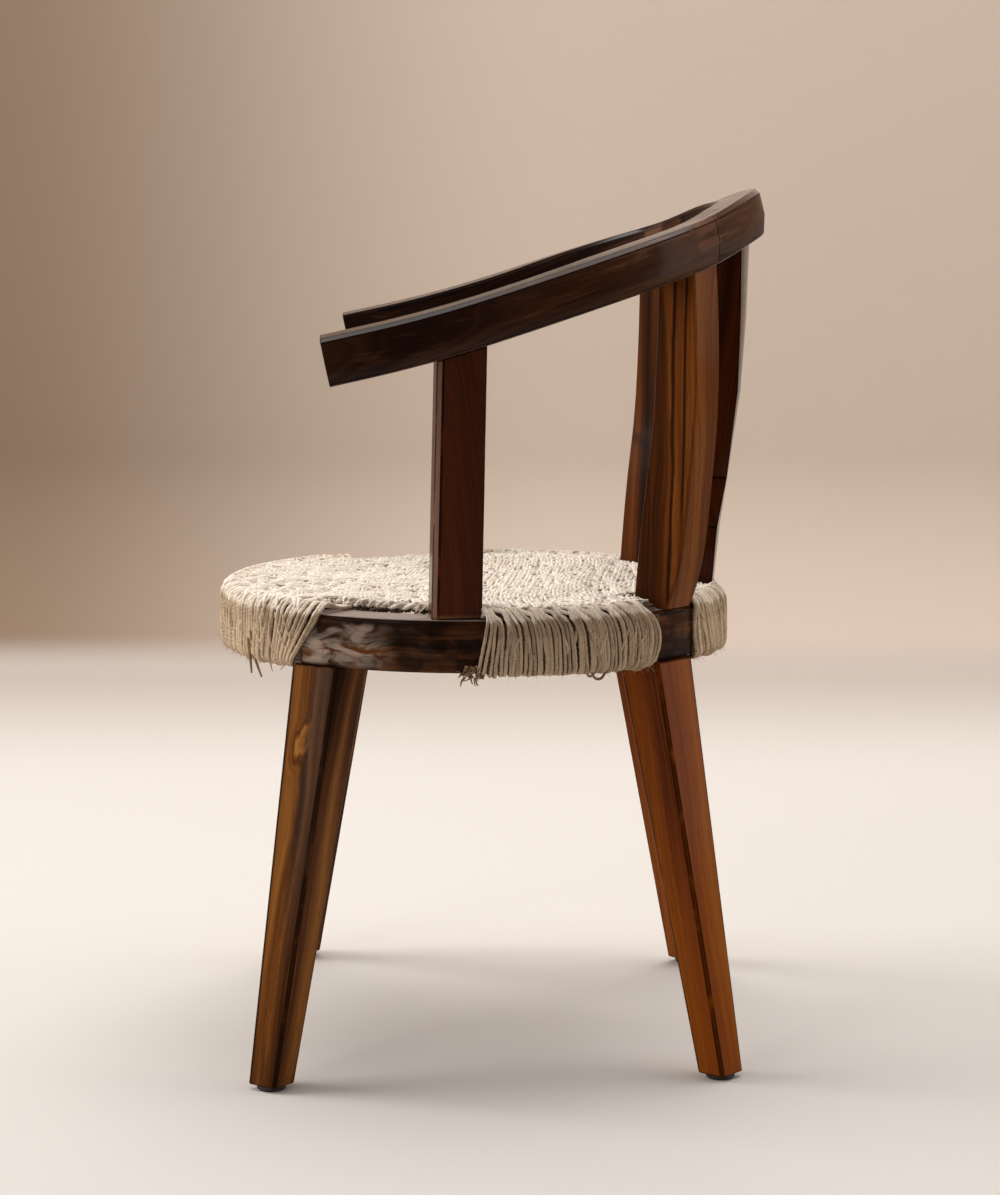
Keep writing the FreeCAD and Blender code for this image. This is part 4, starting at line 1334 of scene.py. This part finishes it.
bunch = []
for hung_angle, hung_height, hung_length in hung_ends:
    hung_start = polar(wind_outer + 0.0014, hung_angle, hung_height)
    bunch.append(loose_end(hung_start, (0.01, 0.03, -1.0), hung_length, 0.0025, 0.030))
for bunch_sign in side_signs.values():
    for _ in range(bunch_ends):
        bunch_angle = fray_dice.uniform(-2.4, 2.0)
        bunch_start = polar(0.2488, bunch_angle, fray_dice.uniform(0.3845, 0.396))
        bunch_start.x *= bunch_sign
        bunch_ahead = (0.35 * bunch_sign * fray_dice.uniform(-0.5, 1.0), -0.8, fray_dice.normal(-0.45, 0.4))
        bunch_thick = fray_dice.uniform(0.0007, 0.0015)
        bunch_length = fray_dice.uniform(0.005, 0.014)
        bunch.append(loose_end(bunch_start, bunch_ahead, bunch_length, bunch_thick, 0.30))
for loop_angle, loop_size in loops:
    loop_turn = np.linspace(-0.3, math.pi + 0.3, 14)
    loop_along = np.array(heading(loop_angle + 90)) * (np.cos(loop_turn) * loop_size)[:, None]
    loop_down = -upward * (np.sin(loop_turn) * loop_size * 1.2)[:, None]
    loop_points = np.array(polar(0.2460, loop_angle, 0.3865)) + loop_along + loop_down
    loop_out = np.array(heading(loop_angle))
    thick = loop_radius
    bunch.append(strand_rings(loop_points, loop_out, thick, thick, cord_sides, twist=1.0, lobe=0.08))
finish_cord(strands_object("cord_bunches", bunch, 241), end_cord)


# Glides: dark round rubber pads under the feet, dusty from the floor.
# Each is moulded round the head of the nail that holds it in the leg's end.
def speckled(name, tones, smooth, spread, scale, stretch=(1, 1, 1)):
    """A plain material, and the fine noise that its tone and its roughness follow."""
    paint = Paint(bpy.data.materials.new(name))
    speckle = paint.noise(paint.stretched(paint.object_place(), stretch), scale=scale, detail=3.0)
    paint.link("Base Color", paint.ramp(speckle, tones))
    paint.link("Roughness", smooth + speckle * spread)
    return paint, speckle


def dress_nodes(names, paint):
    """Give CAD pieces that are shown as they are their material."""
    for name in names:
        nodes[name].data.materials.clear()
        nodes[name].data.materials.append(paint.owner)


pad_tones = [(0.35, (0.012, 0.009, 0.008, 1)), (0.75, (0.05, 0.042, 0.036, 1))]
pad, pad_dust = speckled("glide_rubber", pad_tones, 0.45, 0.3, 420.0)
pad.link("Normal", pad.bump(pad_dust, 0.3, 0.0004))
dress_nodes([name for name in sorted(nodes) if name.startswith("glide_") and name != "glide_nails"], pad)


# Hidden fastenings: whittled pegs in the laps and nails in the glides.
# The pegs are bare pale hardwood, and the nails are plain steel with a little stain.
peg_tones = [(0.3, (0.22, 0.12, 0.06, 1)), (0.7, (0.42, 0.27, 0.14, 1))]
peg = speckled("peg_wood", peg_tones, 0.5, 0.3, 1.0, (300, 300, 30))[0]
dress_nodes(["ring_dowels", "rail_dowels"], peg)

steel_tones = [(0.3, (0.16, 0.13, 0.11, 1)), (0.7, (0.46, 0.45, 0.43, 1))]
steel = speckled("nail_steel", steel_tones, 0.3, 0.4, 600.0)[0]
steel.fixed("Metallic", 1.0)
dress_nodes(["glide_nails"], steel)
